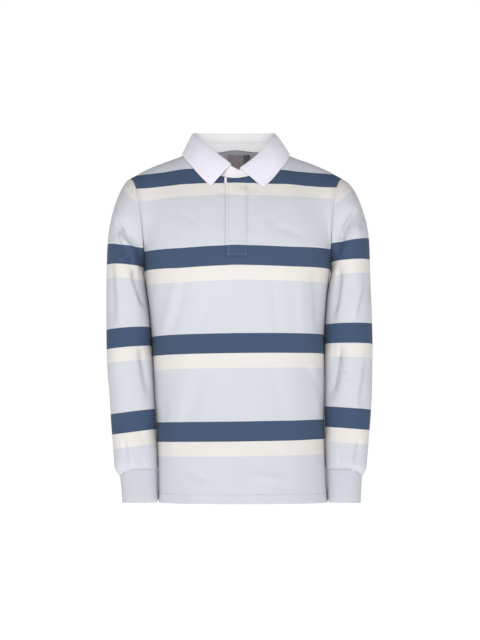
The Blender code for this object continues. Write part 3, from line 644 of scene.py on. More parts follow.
def waves(points, normals, turn):
    """The slight unevenness of cloth that hangs freely."""
    broad = upright_wave(points, BROAD_WAVE, turn, turn)
    narrow = upright_wave(points, NARROW_WAVE, 3 * turn, 2 * turn)
    height, apart, slant = LEVEL_WAVE
    level = height * np.sin(TURN * (points[..., 2] / apart + points[..., 0] / slant) + 5 * turn)
    facing = np.clip(np.abs(normals[..., 1]) * WAVE_ROUND - WAVE_BARE, 0.0, 1.0)
    return (broad + narrow + level) * facing


def relief(name, points, normals):
    """How far a piece's folds and waves move each point out."""
    return fold_push(name, points, normals) + waves(points, normals, WAVE_TURN[name])


def ripples(place, along, away, turn):
    """Small uneven ripples along a seam, which is away from each point."""
    strength, distance, reach = place
    first = np.sin(along * RIPPLE_RATES[0] + turn)
    second = np.sin(along * RIPPLE_RATES[1] + SECOND_TURN * turn)
    return RIPPLE * strength * (first + second) / 2 * bell(away - distance, reach)


# ---- front and back; side is -1 for the front and +1 for the back ----

def ring_points(z, side, s, samples=96):
    """A level ring's points at each s, from -1 at the left side to 1 at the right side."""
    left, right = TRUNK.at("left", z), TRUNK.at("right", z)
    depth = abs(TRUNK.at("front" if side < 0 else "back", z))
    square = TRUNK.at("square", z)
    angle = math.pi * (1 - np.arange(samples + 1) / samples)
    x = (left + right) / 2 + (right - left) / 2 * rounded(np.cos(angle), square)
    y = side * depth * rounded(np.sin(angle), square)
    steps = line_lengths(np.stack([x, y], axis=-1))
    wanted = steps[-1] * (s + 1) / 2
    return stack(np.interp(wanted, steps, x), np.interp(wanted, steps, y), z)


def columns_of(side, s):
    """The four control points of each upper column, from the underarm to the ridge."""
    table = FRONT_PANEL if side < 0 else BACK_PANEL
    hand, part = np.copysign(1.0, s), np.abs(s)
    foot = ring_points(UNDERARM_Z, side, s)
    ridge = SHOULDER.at("z", np.maximum(part, NECK_S))
    ridge = ridge + np.where(part < NECK_S, table.at("crown", part), 0.0)
    head = stack(hand * SHOULDER_HALF * part, RIDGE_Y, ridge)
    low, top = (stack(hand * table.at(end + "_x", part), table.at(end + "_y", part),
                      table.at(end + "_z", part)) for end in ("low", "top"))
    return foot, foot + low, head + top, head


def neck_ends(side, s):
    """How far up its curve each column goes before it meets the neck hole."""
    curve = columns_of(side, s)
    reach = NECK_FRONT if side < 0 else NECK_BACK

    def inside(t):
        p = bezier(*curve, t)
        return 1 - (p[..., 0] / NECK_HALF) ** 2 - ((p[..., 1] - RIDGE_Y) / (reach - RIDGE_Y)) ** 2

    ends = solve(inside, np.full(s.shape, NECK_LOWEST), np.full(s.shape, 1.0))
    return np.where(np.abs(s) >= NECK_S - TINY, 1.0, ends)


def panel_columns(neck_steps=30):
    """The columns' s: closer together where a column ends at the neck's side or a row runs."""
    near = NECK_S * np.sin(math.pi / 2 * np.arange(neck_steps + 1) / neck_steps)
    far = spaced(NECK_S, 1.0, GRID, (HALF_RING, HALF_RING - ARMHOLE_ROWS[1]), HALF_RING)
    half = np.concatenate([near, far[1:]])
    return np.concatenate([-half[:0:-1], half])


def panel_grid(side):
    """Rows from the hem to the neck and shoulders; the hem's two corners are rounded up."""
    s = panel_columns()
    heights = spaced(HEM_Z, UNDERARM_Z, GRID, (HEM_Z + HEM_UP,))
    lower = [ring_points(z, side, s) for z in heights[:-1]]
    curve, ends = columns_of(side, s), neck_ends(side, s)
    upper = [bezier(*curve, t * ends) for t in spaced(0.0, 1.0, GRID, (PANEL_RISE,), PANEL_RISE)]
    points = np.array(lower + upper)
    low = 1 - smooth((points[..., 2] - HEM_Z) / CORNER_FADE)
    points[..., 2] += CORNER_RISE * bell(to_sides(across_rows(points)), CORNER_REACH) * low
    return points


def panel_seams(points, turn):
    """How far a panel's seams, hem and rows of stitches move each point out."""
    up, across = along_rows(points), across_rows(points)
    from_side, from_top = to_sides(across), up[-1] - up
    shoulder = np.abs(panel_columns()) >= NECK_S
    above = smooth((points[..., 2] - UNDERARM_Z) / ARMHOLE_FADE)
    push = -SEAM_DEEP * np.maximum(bell(from_side, SEAM_REACH), bell(from_top, SEAM_REACH) * shoulder)
    push += ripples(SIDE_RIPPLES, up, from_side, turn)
    for row in ARMHOLE_ROWS:
        push -= ROW_DEEP * bell(from_side - row, ROW_REACH) * above
    push -= ROW_DEEP * bell(from_top - SHOULDER_ROW, ROW_REACH) * shoulder
    push -= ROW_DEEP * HEM_ROW_SHARE * bell(up - HEM_UP, ROW_REACH)
    push += HEM_THICK * (1 - smooth((up - HEM_UP) / HEM_STEP + 0.5))
    return push + ripples(HEM_RIPPLES, across, up, turn + 1)


def body_height(side, points):
    """The height on the cloth, which the stripes follow."""
    x, z = points[..., 0], points[..., 2]
    sag = np.array(SAG) * MILLIMETRE
    place = np.interp(x, SAG_X, np.arange(len(SAG_X)))
    first = np.minimum(place.astype(int), len(SAG_X) - 2)
    at_x = np.array([np.interp(z, sag[:, 0], sag[:, k + 1]) for k in range(len(SAG_X))])
    low = np.take_along_axis(at_x, first[None], axis=0)[0]
    high = np.take_along_axis(at_x, first[None] + 1, axis=0)[0]
    level = z - low - (high - low) * (place - first)
    table = np.array(FRONT_CLOTH if side < 0 else BACK_CLOTH) * MILLIMETRE
    return np.interp(level, table[:, 0], table[:, 1])


def seam_points(side, hand, z):
    """The armhole seam at the heights z."""
    curve = columns_of(side, np.full(z.shape, float(hand)))
    t = solve(lambda t: bezier(*curve, t)[..., 2] - z, np.zeros(z.shape), np.ones(z.shape))
    return bezier(*curve, t)


# ---- sleeves and cuffs; hand is -1 for the left one and +1 for the right one ----

def ring_angles():
    """From the outer end of a ring, over its front, to the body and back."""
    return TURN * np.arange(AROUND) / AROUND


def outwardness(angles):
    """0 at a ring's inner end, beside the body, and 1 at its outer end."""
    return (1 + rounded(np.cos(angles), SLEEVE_SQUARE)) / 2


def ovals(outer, inner, front, back, angles, hang, flat=1.0):
    """A ring between two ends, squarer at its inner end by the share flat."""
    outwards = outwardness(angles)
    points = inner + (outer - inner) * outwards[:, None]
    points[:, 2] = inner[2] + (outer - inner)[2] * outwards ** hang
    square = SLEEVE_SQUARE + INNER_SQUARE * smooth(-np.cos(angles) * INNER_SHARE) * flat
    points[:, 1] = front + (back - front) * (1 - rounded(np.sin(angles), square)) / 2
    return points


def nestled(hand, points, angles, most=1.0, clear=NESTLE_CLEAR):
    """A ring of a sleeve or cuff, with its inner side brought up against the body."""
    inner = points[len(points) // 2]
    across, z = inner[1:]
    left, right = TRUNK.at("left", z), TRUNK.at("right", z)
    depth = abs(TRUNK.at("front" if across < 0 else "back", z))
    square = TRUNK.at("square", z)
    body_half = (right - left) / 2 * (1 - abs(across / depth) ** square) ** (1 / square)
    body_x = (left + right) / 2 + hand * body_half
    room = hand * (inner[0] - body_x) - clear
    beside = smooth((NESTLE_FROM - z) / NESTLE_OVER)
    shift = max(room, 0.0) * beside * most * smooth(1 - outwardness(angles) / NESTLE_REACH)
    return points - stack(hand * shift, 0.0, 0.0)


def ring_ends(table, hand, key, z_out, z_in):
    """The outer and the inner end of a ring of a sleeve or cuff."""
    name = HAND_NAME[hand]
    return (stack(hand * table.at("out_" + name, key), 0.0, z_out),
            stack(hand * table.at("in_" + name, key), 0.0, z_in))


def sleeve_ends(hand, rings):
    return ring_ends(SLEEVE, hand, rings, SLEEVE.at("z_out", rings), SLEEVE.at("z_in", rings))


def sleeve_ring(hand, ring, angles, hang):
    flat = smooth(ring / SEAM_FOLLOW)
    return ovals(*sleeve_ends(hand, ring), SLEEVE.at("front", ring), SLEEVE.at("back", ring), angles,
                 hang, flat)


def from_inner(across):
    """The distance round a ring from its inner end."""
    return np.abs(across - across[:, across.shape[1] // 2, None])


def off_body(inside):
    """0 on the strip beside the body and 1 elsewhere."""
    return smooth(inside / BODY_STRIP - BODY_STRIP_EDGE)


def sleeve_seams(points, turn):
    """How far a sleeve's seams, gathers and row of stitches move each point out."""
    up, across = along_rows(points), across_rows(points)
    to_cuff, inside = up[-1] - up, from_inner(across)
    push = -SEAM_DEEP * np.maximum(bell(up, SEAM_REACH), bell(to_cuff, SEAM_REACH))
    push -= SEAM_DEEP * UNDER_SEAM_SHARE * bell(inside, UNDER_SEAM_REACH)
    free = off_body(inside)
    push += ripples(ARMHOLE_RIPPLES, across, up, turn) * free
    even = smooth(to_cuff / EVEN_EDGE)
    push += ripples(GATHER_RIPPLES, across * GATHER_RATE, to_cuff, turn + 2) * free * even
    return push - ROW_DEEP * bell(to_cuff - CUFF_ROW, ROW_REACH)


def sleeve_grid(hand):
    """Rows from the armhole to the cuff, and the same rows without folds and seams."""
    angles = ring_angles()
    first = sleeve_ring(hand, 0.0, angles, 1.0)
    seam = np.where((np.sin(angles) >= 0)[:, None], seam_points(-1, hand, first[:, 2]),
                    seam_points(1, hand, first[:, 2]))
    tries = np.linspace(0.0, LAST_RING, RING_TRIES)
    steps = line_lengths(sleeve_ends(hand, tries)[0])
    places = spaced(0.0, steps[-1], SLEEVE_GRID, (0.0, steps[-1] - CUFF_ROW / 2))
    rings = np.interp(places, steps, tries)
    rows = []
    for ring in rings:
        points = sleeve_ring(hand, ring, angles, SLEEVE.at("hang", ring))
        points = points + (seam - first) * smooth(1 - ring / SEAM_FOLLOW)
        rows.append(nestled(hand, points, angles))
    points = np.array(rows)
    outwards = normals_of(points, True) * hand
    free = np.minimum(rings / FOLD_FREE, 1.0) * smooth((rings[-1] - rings) / FOLD_END)
    push = relief("sleeve_" + HAND_NAME[hand], points, outwards) * free[:, None]
    push = push + sleeve_seams(points, 2.0 + hand)
    return points + outwards * push[..., None], points


def sleeve_height(hand, points):
    """The height on the cloth, which the stripes follow."""
    x, z = np.abs(points[..., 0]), points[..., 2]
    tilt = np.array(SLEEVE_TILT[hand])
    table = np.array(SLEEVE_HEIGHT[hand]) * MILLIMETRE
    level = z - np.interp(z, tilt[:, 0], tilt[:, 1]) * (x - SLEEVE_MIDDLE[hand])
    return np.interp(level, table[:, 0], table[:, 1])


def cuff_ring(hand, t, angles):
    """A cuff's ring, t of the way down."""
    z_out = CUFF_TOP_OUT + (CUFF_BOTTOM - CUFF_TOP_OUT) * t
    z_in = CUFF_TOP_IN + (CUFF_BOTTOM - CUFF_TOP_IN) * t
    z = (z_out + z_in) / 2
    ends = ring_ends(CUFF, hand, z, z_out, z_in)
    ring = ovals(*ends, CUFF.at("front", z), CUFF.at("back", z), angles, CUFF_HANG)
    most = smooth(NOTCH_SHARE + (z_in - CUFF_BOTTOM) / NOTCH)
    return nestled(hand, ring, angles, most, CUFF_CLEAR)


def cuff_grid(hand):
    """Rows from the sleeve down to the cuff's edge."""
    places = spaced(0.0, 1.0, CUFF_GRID, (0.0,), CUFF_TOP_OUT - CUFF_BOTTOM)
    points = np.array([cuff_ring(hand, t, ring_angles()) for t in places])
    outwards = normals_of(points, True) * hand
    down, across = along_rows(points), across_rows(points)
    height, rate, start = CUFF_WAVE
    uneven = ripples(CUFF_RIPPLES, across, down, hand)
    uneven += height * np.sin(across * rate + hand) * smooth(down / start)
    push = uneven * off_body(from_inner(across)) * smooth(down / EVEN_EDGE)
    push -= SEAM_DEEP * bell(down, SEAM_REACH)
    return points + outwards * push[..., None]


# ---- what lies on the panels ----

def panel_at(side, x, z):
    """The upper panel's outer points at x and z, with their outward normals."""

    def at(s, t):
        return bezier(*columns_of(side, s), t)

    s = x / SHOULDER_HALF
    for _ in range(FIND_STEPS):
        curve = columns_of(side, s)
        t = solve(lambda t: bezier(*curve, t)[..., 2] - z, np.zeros(s.shape), np.full(s.shape, PANEL_HIGH))
        s = s + (x - bezier(*curve, t)[..., 0]) / SHOULDER_HALF
    across = at(s + SLOPE_STEP, t) - at(s - SLOPE_STEP, t)
    up = at(s, t + SLOPE_STEP) - at(s, t - SLOPE_STEP)
    normal = unit(np.cross(across, up))
    return at(s, t), normal * np.where(normal[..., 1] * side > 0, 1.0, -1.0)[..., None]


def neck_heights(x):
    """The height of the front's neck edge at each x."""
    s = x / SHOULDER_HALF
    for _ in range(FIND_STEPS):
        points = bezier(*columns_of(-1, s), neck_ends(-1, s))
        s = s + (x - points[..., 0]) / SHOULDER_HALF
    return points[..., 2]


def laid_on(side, across, bottom, top, parts, lift):
    """A grid over a panel, moved out; across is in x and parts run from bottom to top."""
    x = np.broadcast_to(across, (len(parts), len(across)))
    z = bottom + (top - bottom) * np.asarray(parts)[:, None] + 0.0 * x
    places, normals = panel_at(side, x, z)
    name = "front" if side < 0 else "back"
    return places + normals * (lift + relief(name, places, normals))[..., None], normals


def placket_grid():
    across = spaced(PLACKET_LEFT, PLACKET_RIGHT, PLACKET_GRID[0], PLACKET_LINES)
    top = neck_heights(across) - PLACKET_SHORT
    rise = float(np.mean(top)) - PLACKET_BOTTOM
    parts = spaced(0.0, 1.0, PLACKET_GRID[1], [z - PLACKET_BOTTOM for z in PLACKET_CROSS], rise)
    lift = PLACKET_CLOTH + PLACKET_AIR * (1 - smooth((across - PLACKET_SLOPE) / PLACKET_SLOPE_OVER))
    lift = lift + PLACKET_LEAST
    points, normals = laid_on(-1, across, PLACKET_BOTTOM, top, parts, lift)
    x, z = points[..., 0], points[..., 2]
    push = ripples(PLACKET_RIPPLES, z, x - PLACKET_LEFT, 0.4)
    for place, lines in ((x, PLACKET_LINES), (z, PLACKET_CROSS)):
        for line in lines:
            push -= ROW_DEEP * bell(place - line, ROW_REACH)
    return points + normals * push[..., None]


# ---- collar ----

def around_neck(points):
    """Degrees from the front, over the left shoulder, seen from above."""
    return np.degrees(np.arctan2(-points[..., 0], RIDGE_Y - points[..., 1])) % 360.0


def away_from_neck(points):
    return unit(stack(points[..., 0], points[..., 1] - RIDGE_Y, 0.0))


class Loop:
    """A closed line round the neck, read by angle."""

    def __init__(self, points):
        angles = around_neck(points)
        order = np.argsort(angles)
        self.angles, self.points = angles[order], points[order]

    def at(self, angles):
        return np.stack([np.interp(angles % 360.0, self.angles, column, period=360.0)
                         for column in self.points.T], axis=-1)


def neck_loop(front, back):
    inside = np.abs(panel_columns()) <= NECK_S + TINY
    ahead, behind = front[-1][inside], back[-1][inside]
    left, right = (ahead[:1] + behind[:1]) / 2, (ahead[-1:] + behind[-1:]) / 2
    return Loop(np.concatenate([ahead[1:-1], right, behind[-2:0:-1], left]))


def collar_section(s):
    """The inner leg's foot, the roll, the fall's edge and the way outwards at each s."""
    roll = stack(*[COLLAR.at("roll_" + axis, s) for axis in "xyz"])
    edge = stack(*[COLLAR.at("edge_" + axis, s) for axis in "xyz"])
    outwards = away_from_neck(roll)
    foot = roll - outwards * ROLL_RADIUS - stack(0.0, 0.0, COLLAR.at("inner", s))
    return foot, roll, edge, outwards


def stand_grid(loop, steps=230, rows=14, samples=240):
    """Rows from the neck edge up to the collar's inner leg; the outer end laps over the first."""
    feet = Loop(collar_section(np.linspace(0.0, 1.0, samples))[0])
    angles = np.linspace(STAND_START, STAND_END, steps)
    low, foot = loop.at(angles), feet.at(angles)
    outwards = away_from_neck(foot)
    high = foot + outwards * STAND_CLOTH
    lean = length((high - low)[..., :2]) / (high - low)[..., 2]
    low = low + stack(0.0, 0.0, STAND_GAP + lean * STAND_CLOTH)
    high = high - stack(0.0, 0.0, STAND_TOP_GAP + lean * STAND_CLOTH)
    lap = smooth((angles - STAND_LAP_FROM) / (STAND_LAP_FULL - STAND_LAP_FROM))
    lap = outwards * (lap * (STAND_CLOTH + 2 * SEAM_GAP))[:, None]
    return np.array([low + (high - low) * t + lap for t in np.linspace(0.0, 1.0, rows)])


def grid_quads(rows, width, around=False):
    """The corners of a grid's faces; around joins its last column to its first."""
    j, i = np.meshgrid(np.arange(rows - 1), np.arange(width if around else width - 1), indexing="ij")
    k = (i + 1) % width
    return np.stack([j * width + i, j * width + k, (j + 1) * width + k, (j + 1) * width + i], axis=-1)


class Under:
    """The outer faces that the collar lies on."""

    def __init__(self, layers):
        points, faces, count = [], [], 0
        for grid, flip in layers:
            quads = count + grid_quads(*grid.shape[:2]).reshape(-1, 4)
            faces += (quads[:, ::-1] if flip else quads).tolist()
            points.append(grid.reshape(-1, 3))
            count += len(points[-1])
        self.tree = BVHTree.FromPolygons(np.concatenate(points).tolist(), faces)

    def lift(self, points, distance, exactly):
        """Moves points out to a distance from the faces, or only those that are nearer."""
        moved = points.copy()
        for at in np.ndindex(points.shape[:-1]):
            point = Vector(points[at])
            place, normal = self.tree.find_nearest(point)[:2]
            height = (point - place).dot(normal)
            if exactly or height < distance:
                moved[at] = point + normal * (distance - height)
        return moved


def collar_grid(under, across=190, fall_steps=38):
    """Rows from the inner leg's foot, over the roll, to the fall's edge."""
    s = np.linspace(0.0, 1.0, across)
    foot, roll, edge, outwards = collar_section(s)
    edge = under.lift(edge, COLLAR_CLOTH + LEAF_LIFT, True)
    corner = stack(foot[..., 0], foot[..., 1], roll[..., 2])
    rows = []
    for t in np.arange(ROLL_STEPS) / ROLL_STEPS:
        rows.append(foot * (1 - t) ** 2 + corner * 2 * t * (1 - t) + roll * t * t)
    bulge = COLLAR.at("bulge", s)[:, None]
    over = roll + (edge - roll) * FALL_TURN + outwards * (ROLL_RADIUS * FALL_ROUND + bulge)
    above = roll + (edge - roll) * FALL_MIDDLE + outwards * bulge
    for t in np.linspace(0.0, 1.0, fall_steps + 1):
        points = bezier(roll, over, above, edge, np.full(s.shape, t))
        if t > 0:
            points = under.lift(points, COLLAR_CLOTH + 2 * SEAM_GAP, False)
        rows.append(points)
    return np.array(rows)


# ---- materials ----

def feed(tree, node, inputs):
    """Sets a node's inputs to constants or to the outputs of other nodes."""
    for name, value in inputs.items():
        if isinstance(value, bpy.types.NodeSocket):
            tree.links.new(value, node.inputs[name])
        else:
            node.inputs[name].default_value = value


class Shader:
    """A Principled material and a short way to add its nodes."""

    def __init__(self, name, roughness, sheen):
        self.material = bpy.data.materials.new(name)
        self.material.use_nodes = True
        self.tree = self.material.node_tree
        self.bsdf = self.tree.nodes["Principled BSDF"]
        feed(self.tree, self.bsdf, {"Roughness": roughness, "Specular IOR Level": 0.15,
                                    "Sheen Weight": sheen, "Sheen Roughness": 0.5})

    def node(self, kind, inputs=None, **values):
        made = self.tree.nodes.new(kind)
        for name, value in values.items():
            setattr(made, name, value)
        feed(self.tree, made, inputs or {})
        return made

    def math(self, operation, *values):
        return self.node("ShaderNodeMath", dict(enumerate(values)), operation=operation).outputs[0]

    def wave(self, value, rate):
        """The sine of a value, which turns by rate a metre."""
        return self.math("SINE", self.math("MULTIPLY", value, rate))

    def flat(self, color):
        made = self.node("ShaderNodeRGB")
        made.outputs[0].default_value = (*color, 1.0)
        return made.outputs[0]

    def ramp(self, amount, first, second):
        """The ramp from one colour to another, which starts at 0 and ends at 1."""
        made = self.node("ShaderNodeValToRGB", {"Fac": amount})
        for element, color in zip(made.color_ramp.elements, (first, second)):
            element.color = (*color, 1.0)
        return made

    def cloth_place(self):
        """The place on the cloth: both together, across and up, in metres."""
        uv = self.node("ShaderNodeUVMap", uv_map="cloth").outputs["UV"]
        parts = self.node("ShaderNodeSeparateXYZ", {0: uv})
        return uv, parts.outputs["X"], parts.outputs["Y"]

    def noise(self, place, scale, stretch=(1, 1, 1), detail=2.0):
        spread = self.node("ShaderNodeMapping", {"Vector": place, "Scale": stretch}).outputs["Vector"]
        noise = self.node("ShaderNodeTexNoise", {"Vector": spread, "Scale": scale, "Detail": detail})
        return noise.outputs["Fac"]

    def bump(self, height, distance, strength):
        bump = self.node("ShaderNodeBump", {"Height": height, "Distance": distance, "Strength": strength})
        self.tree.links.new(bump.outputs["Normal"], self.bsdf.inputs["Normal"])

    def shade(self, color, amount, change):
        """Colour made darker or lighter by up to change, as amount runs from 0 to 1."""
        level = self.node("ShaderNodeMapRange",
                          {"Value": amount, "To Min": 1.0 - change, "To Max": 1.0 + change})
        mixed = self.node("ShaderNodeVectorMath", {0: color, "Scale": level.outputs[0]}, operation="SCALE")
        self.tree.links.new(mixed.outputs[0], self.bsdf.inputs["Base Color"])


def knit_height(shader, u, v):
    """Small arched loops, side by side."""
    column = shader.math("ABSOLUTE", shader.wave(u, math.pi / WALE))
    lean = shader.math("MULTIPLY", column, COURSE * LOOP_LEAN)
    row = shader.wave(shader.math("ADD", v, lean), TURN / COURSE)
    return shader.math("ADD", shader.math("MULTIPLY", column, COLUMN_HEIGHT),
                       shader.math("MULTIPLY", row, ROW_HEIGHT))


def stripes(shader, u, v):
    """The stripes' colour by the height on the cloth; their edges follow the knit's loops."""
    edge = shader.math("MULTIPLY", shader.wave(u, TURN / WALE), STRIPE_EDGE)
    below = shader.math("SUBTRACT", NAVY_TOP, shader.math("ADD", v, edge))
    turn = shader.math("FRACT", shader.math("DIVIDE", below, STRIPE_REPEAT))
    ramp = shader.ramp(turn, NAVY, CREAM)
    ramp.color_ramp.interpolation = "CONSTANT"
    ramp.color_ramp.elements[1].position = NAVY_HEIGHT / STRIPE_REPEAT
    blue = ramp.color_ramp.elements.new((NAVY_HEIGHT + CREAM_HEIGHT) / STRIPE_REPEAT)
    blue.color = (*PALE_BLUE, 1.0)
    return ramp.outputs["Color"]


def jersey(name, striped):
    shader = Shader(name, roughness=0.9, sheen=0.05)
    place, u, v = shader.cloth_place()
    color = stripes(shader, u, v) if striped else shader.flat(CUFF_BLUE)
    shader.shade(color, shader.noise(place, 1.0, KNIT_ROWS, detail=1.0), KNIT_SHADE)
    fuzz = shader.noise(place, FUZZ)
    height = shader.math("ADD", knit_height(shader, u, v), shader.math("MULTIPLY", fuzz, FUZZ_HEIGHT))
    shader.bump(height, *KNIT_BUMP)
    return shader.material


def woven(name, color, thread=0.00045, roughness=0.8, inside=None):
    """Plain weave; above the UVs' zero line it may turn to a second, lighter colour: painted light for an
    inside that lies in shade.
    """
    shader = Shader(name, roughness, sheen=0.08)
    place, u, v = shader.cloth_place()
    # above the zero line the colour turns to the lighter one given as inside: painted light
    ramp = shader.ramp(shader.math("MULTIPLY", v, 1 / PAINTED_LIGHT_BLEND), color, inside or color)
    shader.shade(ramp.outputs["Color"], shader.noise(place, 1.0, YARNS, detail=1.0), WEAVE_SHADE)
    warp, weft = shader.wave(u, math.pi / thread), shader.wave(v, math.pi / thread)
    shader.bump(shader.math("MULTIPLY", warp, weft), *WEAVE_BUMP)
    return shader.material


def thread(name, color):
    shader = Shader(name, roughness=0.6, sheen=0.1)
    u, v = shader.cloth_place()[1:]
    ply = shader.wave(shader.math("ADD", u, v), TURN / THREAD_PLY)
    shader.shade(shader.flat(color), ply, THREAD_SHADE)
    shader.bump(ply, *THREAD_BUMP)
    return shader.material


# ---- making the pieces ----

def new_piece(name, points, faces, uvs, material):
    """A smooth mesh, with UVs for the corners of its faces in their order."""
    mesh = bpy.data.meshes.new(name)
    mesh.from_pydata(points.reshape(-1, 3).tolist(), [], faces)
    layer = mesh.uv_layers.new(name="cloth")
    layer.data.foreach_set("uv", uvs.reshape(-1).astype(np.float32))
    mesh.materials.append(material)
    mesh.shade_smooth()
    item = bpy.data.objects.new(name, mesh)
    bpy.context.scene.collection.objects.link(item)
    return item


def add_wall(item, thickness, lining):
    wall = item.modifiers.new("Wall", "SOLIDIFY")
    wall.thickness = thickness
    wall.offset = -1.0
    if lining:
        item.data.materials.append(lining)
        wall.material_offset = 1


def add_rim(item, width):
    soft = item.modifiers.new("Rim", "BEVEL")
    soft.width = width
    soft.segments = 2
    soft.limit_method = "ANGLE"
    soft.angle_limit = math.radians(50)


def cloth_piece(node, points, uv, thickness, material, around=False, flip=False, rim=RIM, lining=None):
    """A node's thin wall of cloth, whose outer face runs through a grid of points."""
    quads = grid_quads(*points.shape[:2], around)
    corners = np.stack([uv[:-1, :-1], uv[:-1, 1:], uv[1:, 1:], uv[1:, :-1]], axis=-2)
    if flip:
        quads, corners = quads[..., ::-1], corners[..., ::-1, :]
    item = new_piece(node + "_cloth", points, quads.reshape(-1, 4).tolist(), corners, material)
    add_wall(item, thickness, lining)
    add_rim(item, rim)
    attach(item, "root")
    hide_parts(node)
    return item


def crossing(points, normals, measure, value):
    """Where each row of a grid reaches a value of its measure: places and normals side by side."""
    found = []
    for at, facing, level in zip(points, normals, measure):
        order = np.argsort(level)
        both = np.concatenate([at, facing], axis=1)[order]
        found.append(read_line(value, level[order], both))
    return np.array(found)


def upright(points, normals, measure, value):
    """The same down each column."""
    return crossing(points.transpose(1, 0, 2), normals.transpose(1, 0, 2), measure.T, value)


def stitch_rings(line):
    """The rings of a line's stitches, which arch over the cloth and end in it."""
    turn = TURN * np.arange(THREAD_SIDES) / THREAD_SIDES
    u = np.linspace(-1.0, 1.0, THREAD_RINGS)
    steps = line_lengths(line[:, :3])
    along = np.arange(STITCH_PITCH / 2, steps[-1], STITCH_PITCH)[:, None] + u * STITCH / 2
    middle, up = np.split(read_line(along, steps, line), 2, axis=-1)
    ahead, behind = (read_line(along + step, steps, line[:, :3]) for step in (STITCH_STEP, -STITCH_STEP))
    up = unit(up)
    sideways = unit(np.cross(ahead - behind, up))
    middle = middle + up * (THREAD * (STITCH_ARCH * (1 - u ** 2) - STITCH_SUNK))[:, None]
    around = np.cos(turn)[:, None] * sideways[..., None, :] + np.sin(turn)[:, None] * up[..., None, :]
    return middle[..., None, :] + around * THREAD


def stitch_faces(count):
    """The faces of closed tubes, one for each stitch."""
    size = THREAD_RINGS * THREAD_SIDES
    starts = np.arange(count) * size
    quads = starts[:, None, None] + grid_quads(THREAD_RINGS, THREAD_SIDES, True).reshape(-1, 4)
    ends = [list(range(k, k + THREAD_SIDES))[::-1] for k in starts]
    ends += [list(range(k + size - THREAD_SIDES, k + size)) for k in starts]
    return quads.reshape(-1, 4).tolist() + ends


def stitched(node, lines, color):
    """A node's rows of short stitches, along lines on its cloth."""
    points = np.concatenate([stitch_rings(line) for line in lines])
    faces = stitch_faces(len(points))
    corners = [corner for face in faces for corner in face]
    uvs = points.reshape(-1, 3)[corners][:, (0, 2)]
    item = new_piece(node + "_stitches", points, faces, uvs, SEWING[color])
    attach(item, "root")
    return item


def dressed(node, points, height, thickness, material, lines=(), sewn="blue", around=False, **wall):
    """A node's cloth with its rows of stitches."""
    uv = closed_uv(points, height) if around else uv_of(points, height)
    piece = cloth_piece(node, points, uv, thickness, material, around, **wall)
    sewing = [stitched(node, lines, sewn)] if lines else []


def panel_lines(side, points):
    """The armhole rows, the hem and, on the back, the shoulder rows."""
    normals = normals_of(points) * -side
    up, across = along_rows(points), across_rows(points)
    above = points[:, 0, 2] > UNDERARM_Z + ROWS_ABOVE
    lines = []
    for row in ARMHOLE_ROWS:
        for from_side in (across, across[:, -1:] - across):
            lines.append(crossing(points[above], normals[above], from_side[above], row)[:-2])
    lines.append(upright(points, normals, up, HEM_UP))
    if side > 0:
        s = panel_columns()
        for hand in (-1, 1):
            part = s * hand > NECK_S + ROWS_PAST_NECK
            lines.append(upright(points[:, part], normals[:, part], (up[-1] - up)[:, part], SHOULDER_ROW))
    return lines


def collar_lines(points):
    """The row along the fall's edge and the one at each of its ends."""
    down, across, normals = along_rows(points), across_rows(points), normals_of(points)
    to_edge = down[-1] - down
    inside = (across[-1] > LEAF_ROW) & (across[-1] < across[-1, -1] - LEAF_ROW)
    lines = [upright(points[:, inside], normals[:, inside], to_edge[:, inside], LEAF_ROW)]
    fall = (down[:, 0] > down[-1, 0] * LEAF_ROW_FROM) & (to_edge[:, 0] > LEAF_ROW)
    for from_end in (across, across[:, -1:] - across):
        lines.append(crossing(points[fall], normals[fall], from_end[fall], LEAF_ROW))
    return lines


def make_panel(side, name):
    points = panel_grid(side)
    outwards = normals_of(points) * -side
    height = body_height(side, points)
    push = relief(name, points, outwards) + panel_seams(points, 1.0 + side)
    points = points + outwards * push[..., None]
    dressed(name, points, height, CLOTH, STRIPED, panel_lines(side, points), flip=side > 0)
    return points


def make_placket():
    points = placket_grid()
    normals = normals_of(points)
    lines = [crossing(points, normals, points[..., 0], line) for line in PLACKET_LINES]
    lines += [upright(points, normals, points[..., 2], line) for line in PLACKET_CROSS]
    dressed("placket", points, body_height(-1, points), PLACKET_CLOTH, STRIPED, lines)
    return points


def make_tape():
    left, right, bottom, top = TAPE
    lift = PLACKET_LEAST + PLACKET_AIR + PLACKET_CLOTH + SEAM_GAP + TAPE_CLOTH
    points = laid_on(-1, np.linspace(left, right, 5), bottom, top, np.linspace(0, 1, 9), lift)[0]
    dressed("placket_tape", points, points[..., 2], TAPE_CLOTH, POPLIN, rim=FINE_RIM)


def make_stand(front, back):
    points = stand_grid(neck_loop(front, back))
    # its inner face takes the lighter white: painted light on a face in shade
    dressed("collar_stand", points, points[..., 2], STAND_CLOTH, STAND_WEAVE, flip=True,
            lining=STAND_PAINTED_LIGHT_LINING)
    return points


def make_collar(under):
    """The collar's inside has UVs above zero, which gives it a lighter white: painted light on the inside,
    which lies in shade.
    """
    points = collar_grid(under)
    down = along_rows(points)
    dressed("collar", points, down[ROLL_STEPS] - down, COLLAR_CLOTH, POPLIN, collar_lines(points),
            "white")


def make_label(name, place, material):
    left, right, bottom = place
    points = laid_on(1, np.linspace(left, right, 17), bottom, LABEL_TOP, np.linspace(0, 1, 21),
                     -(CLOTH + LABEL_AIR + LABEL_CLOTH))[0]
    dressed(name, points, points[..., 2], LABEL_CLOTH, material, rim=FINE_RIM)


def make_sleeve(hand, name):
    points, plain = sleeve_grid(hand)
    up = along_rows(points)
    line = upright(points, normals_of(points, True) * hand, up[-1] - up, CUFF_ROW)
    dressed("sleeve_" + name, points, sleeve_height(hand, plain), CLOTH, STRIPED,
            [np.concatenate([line, line[:1]])], around=True, flip=hand < 0)


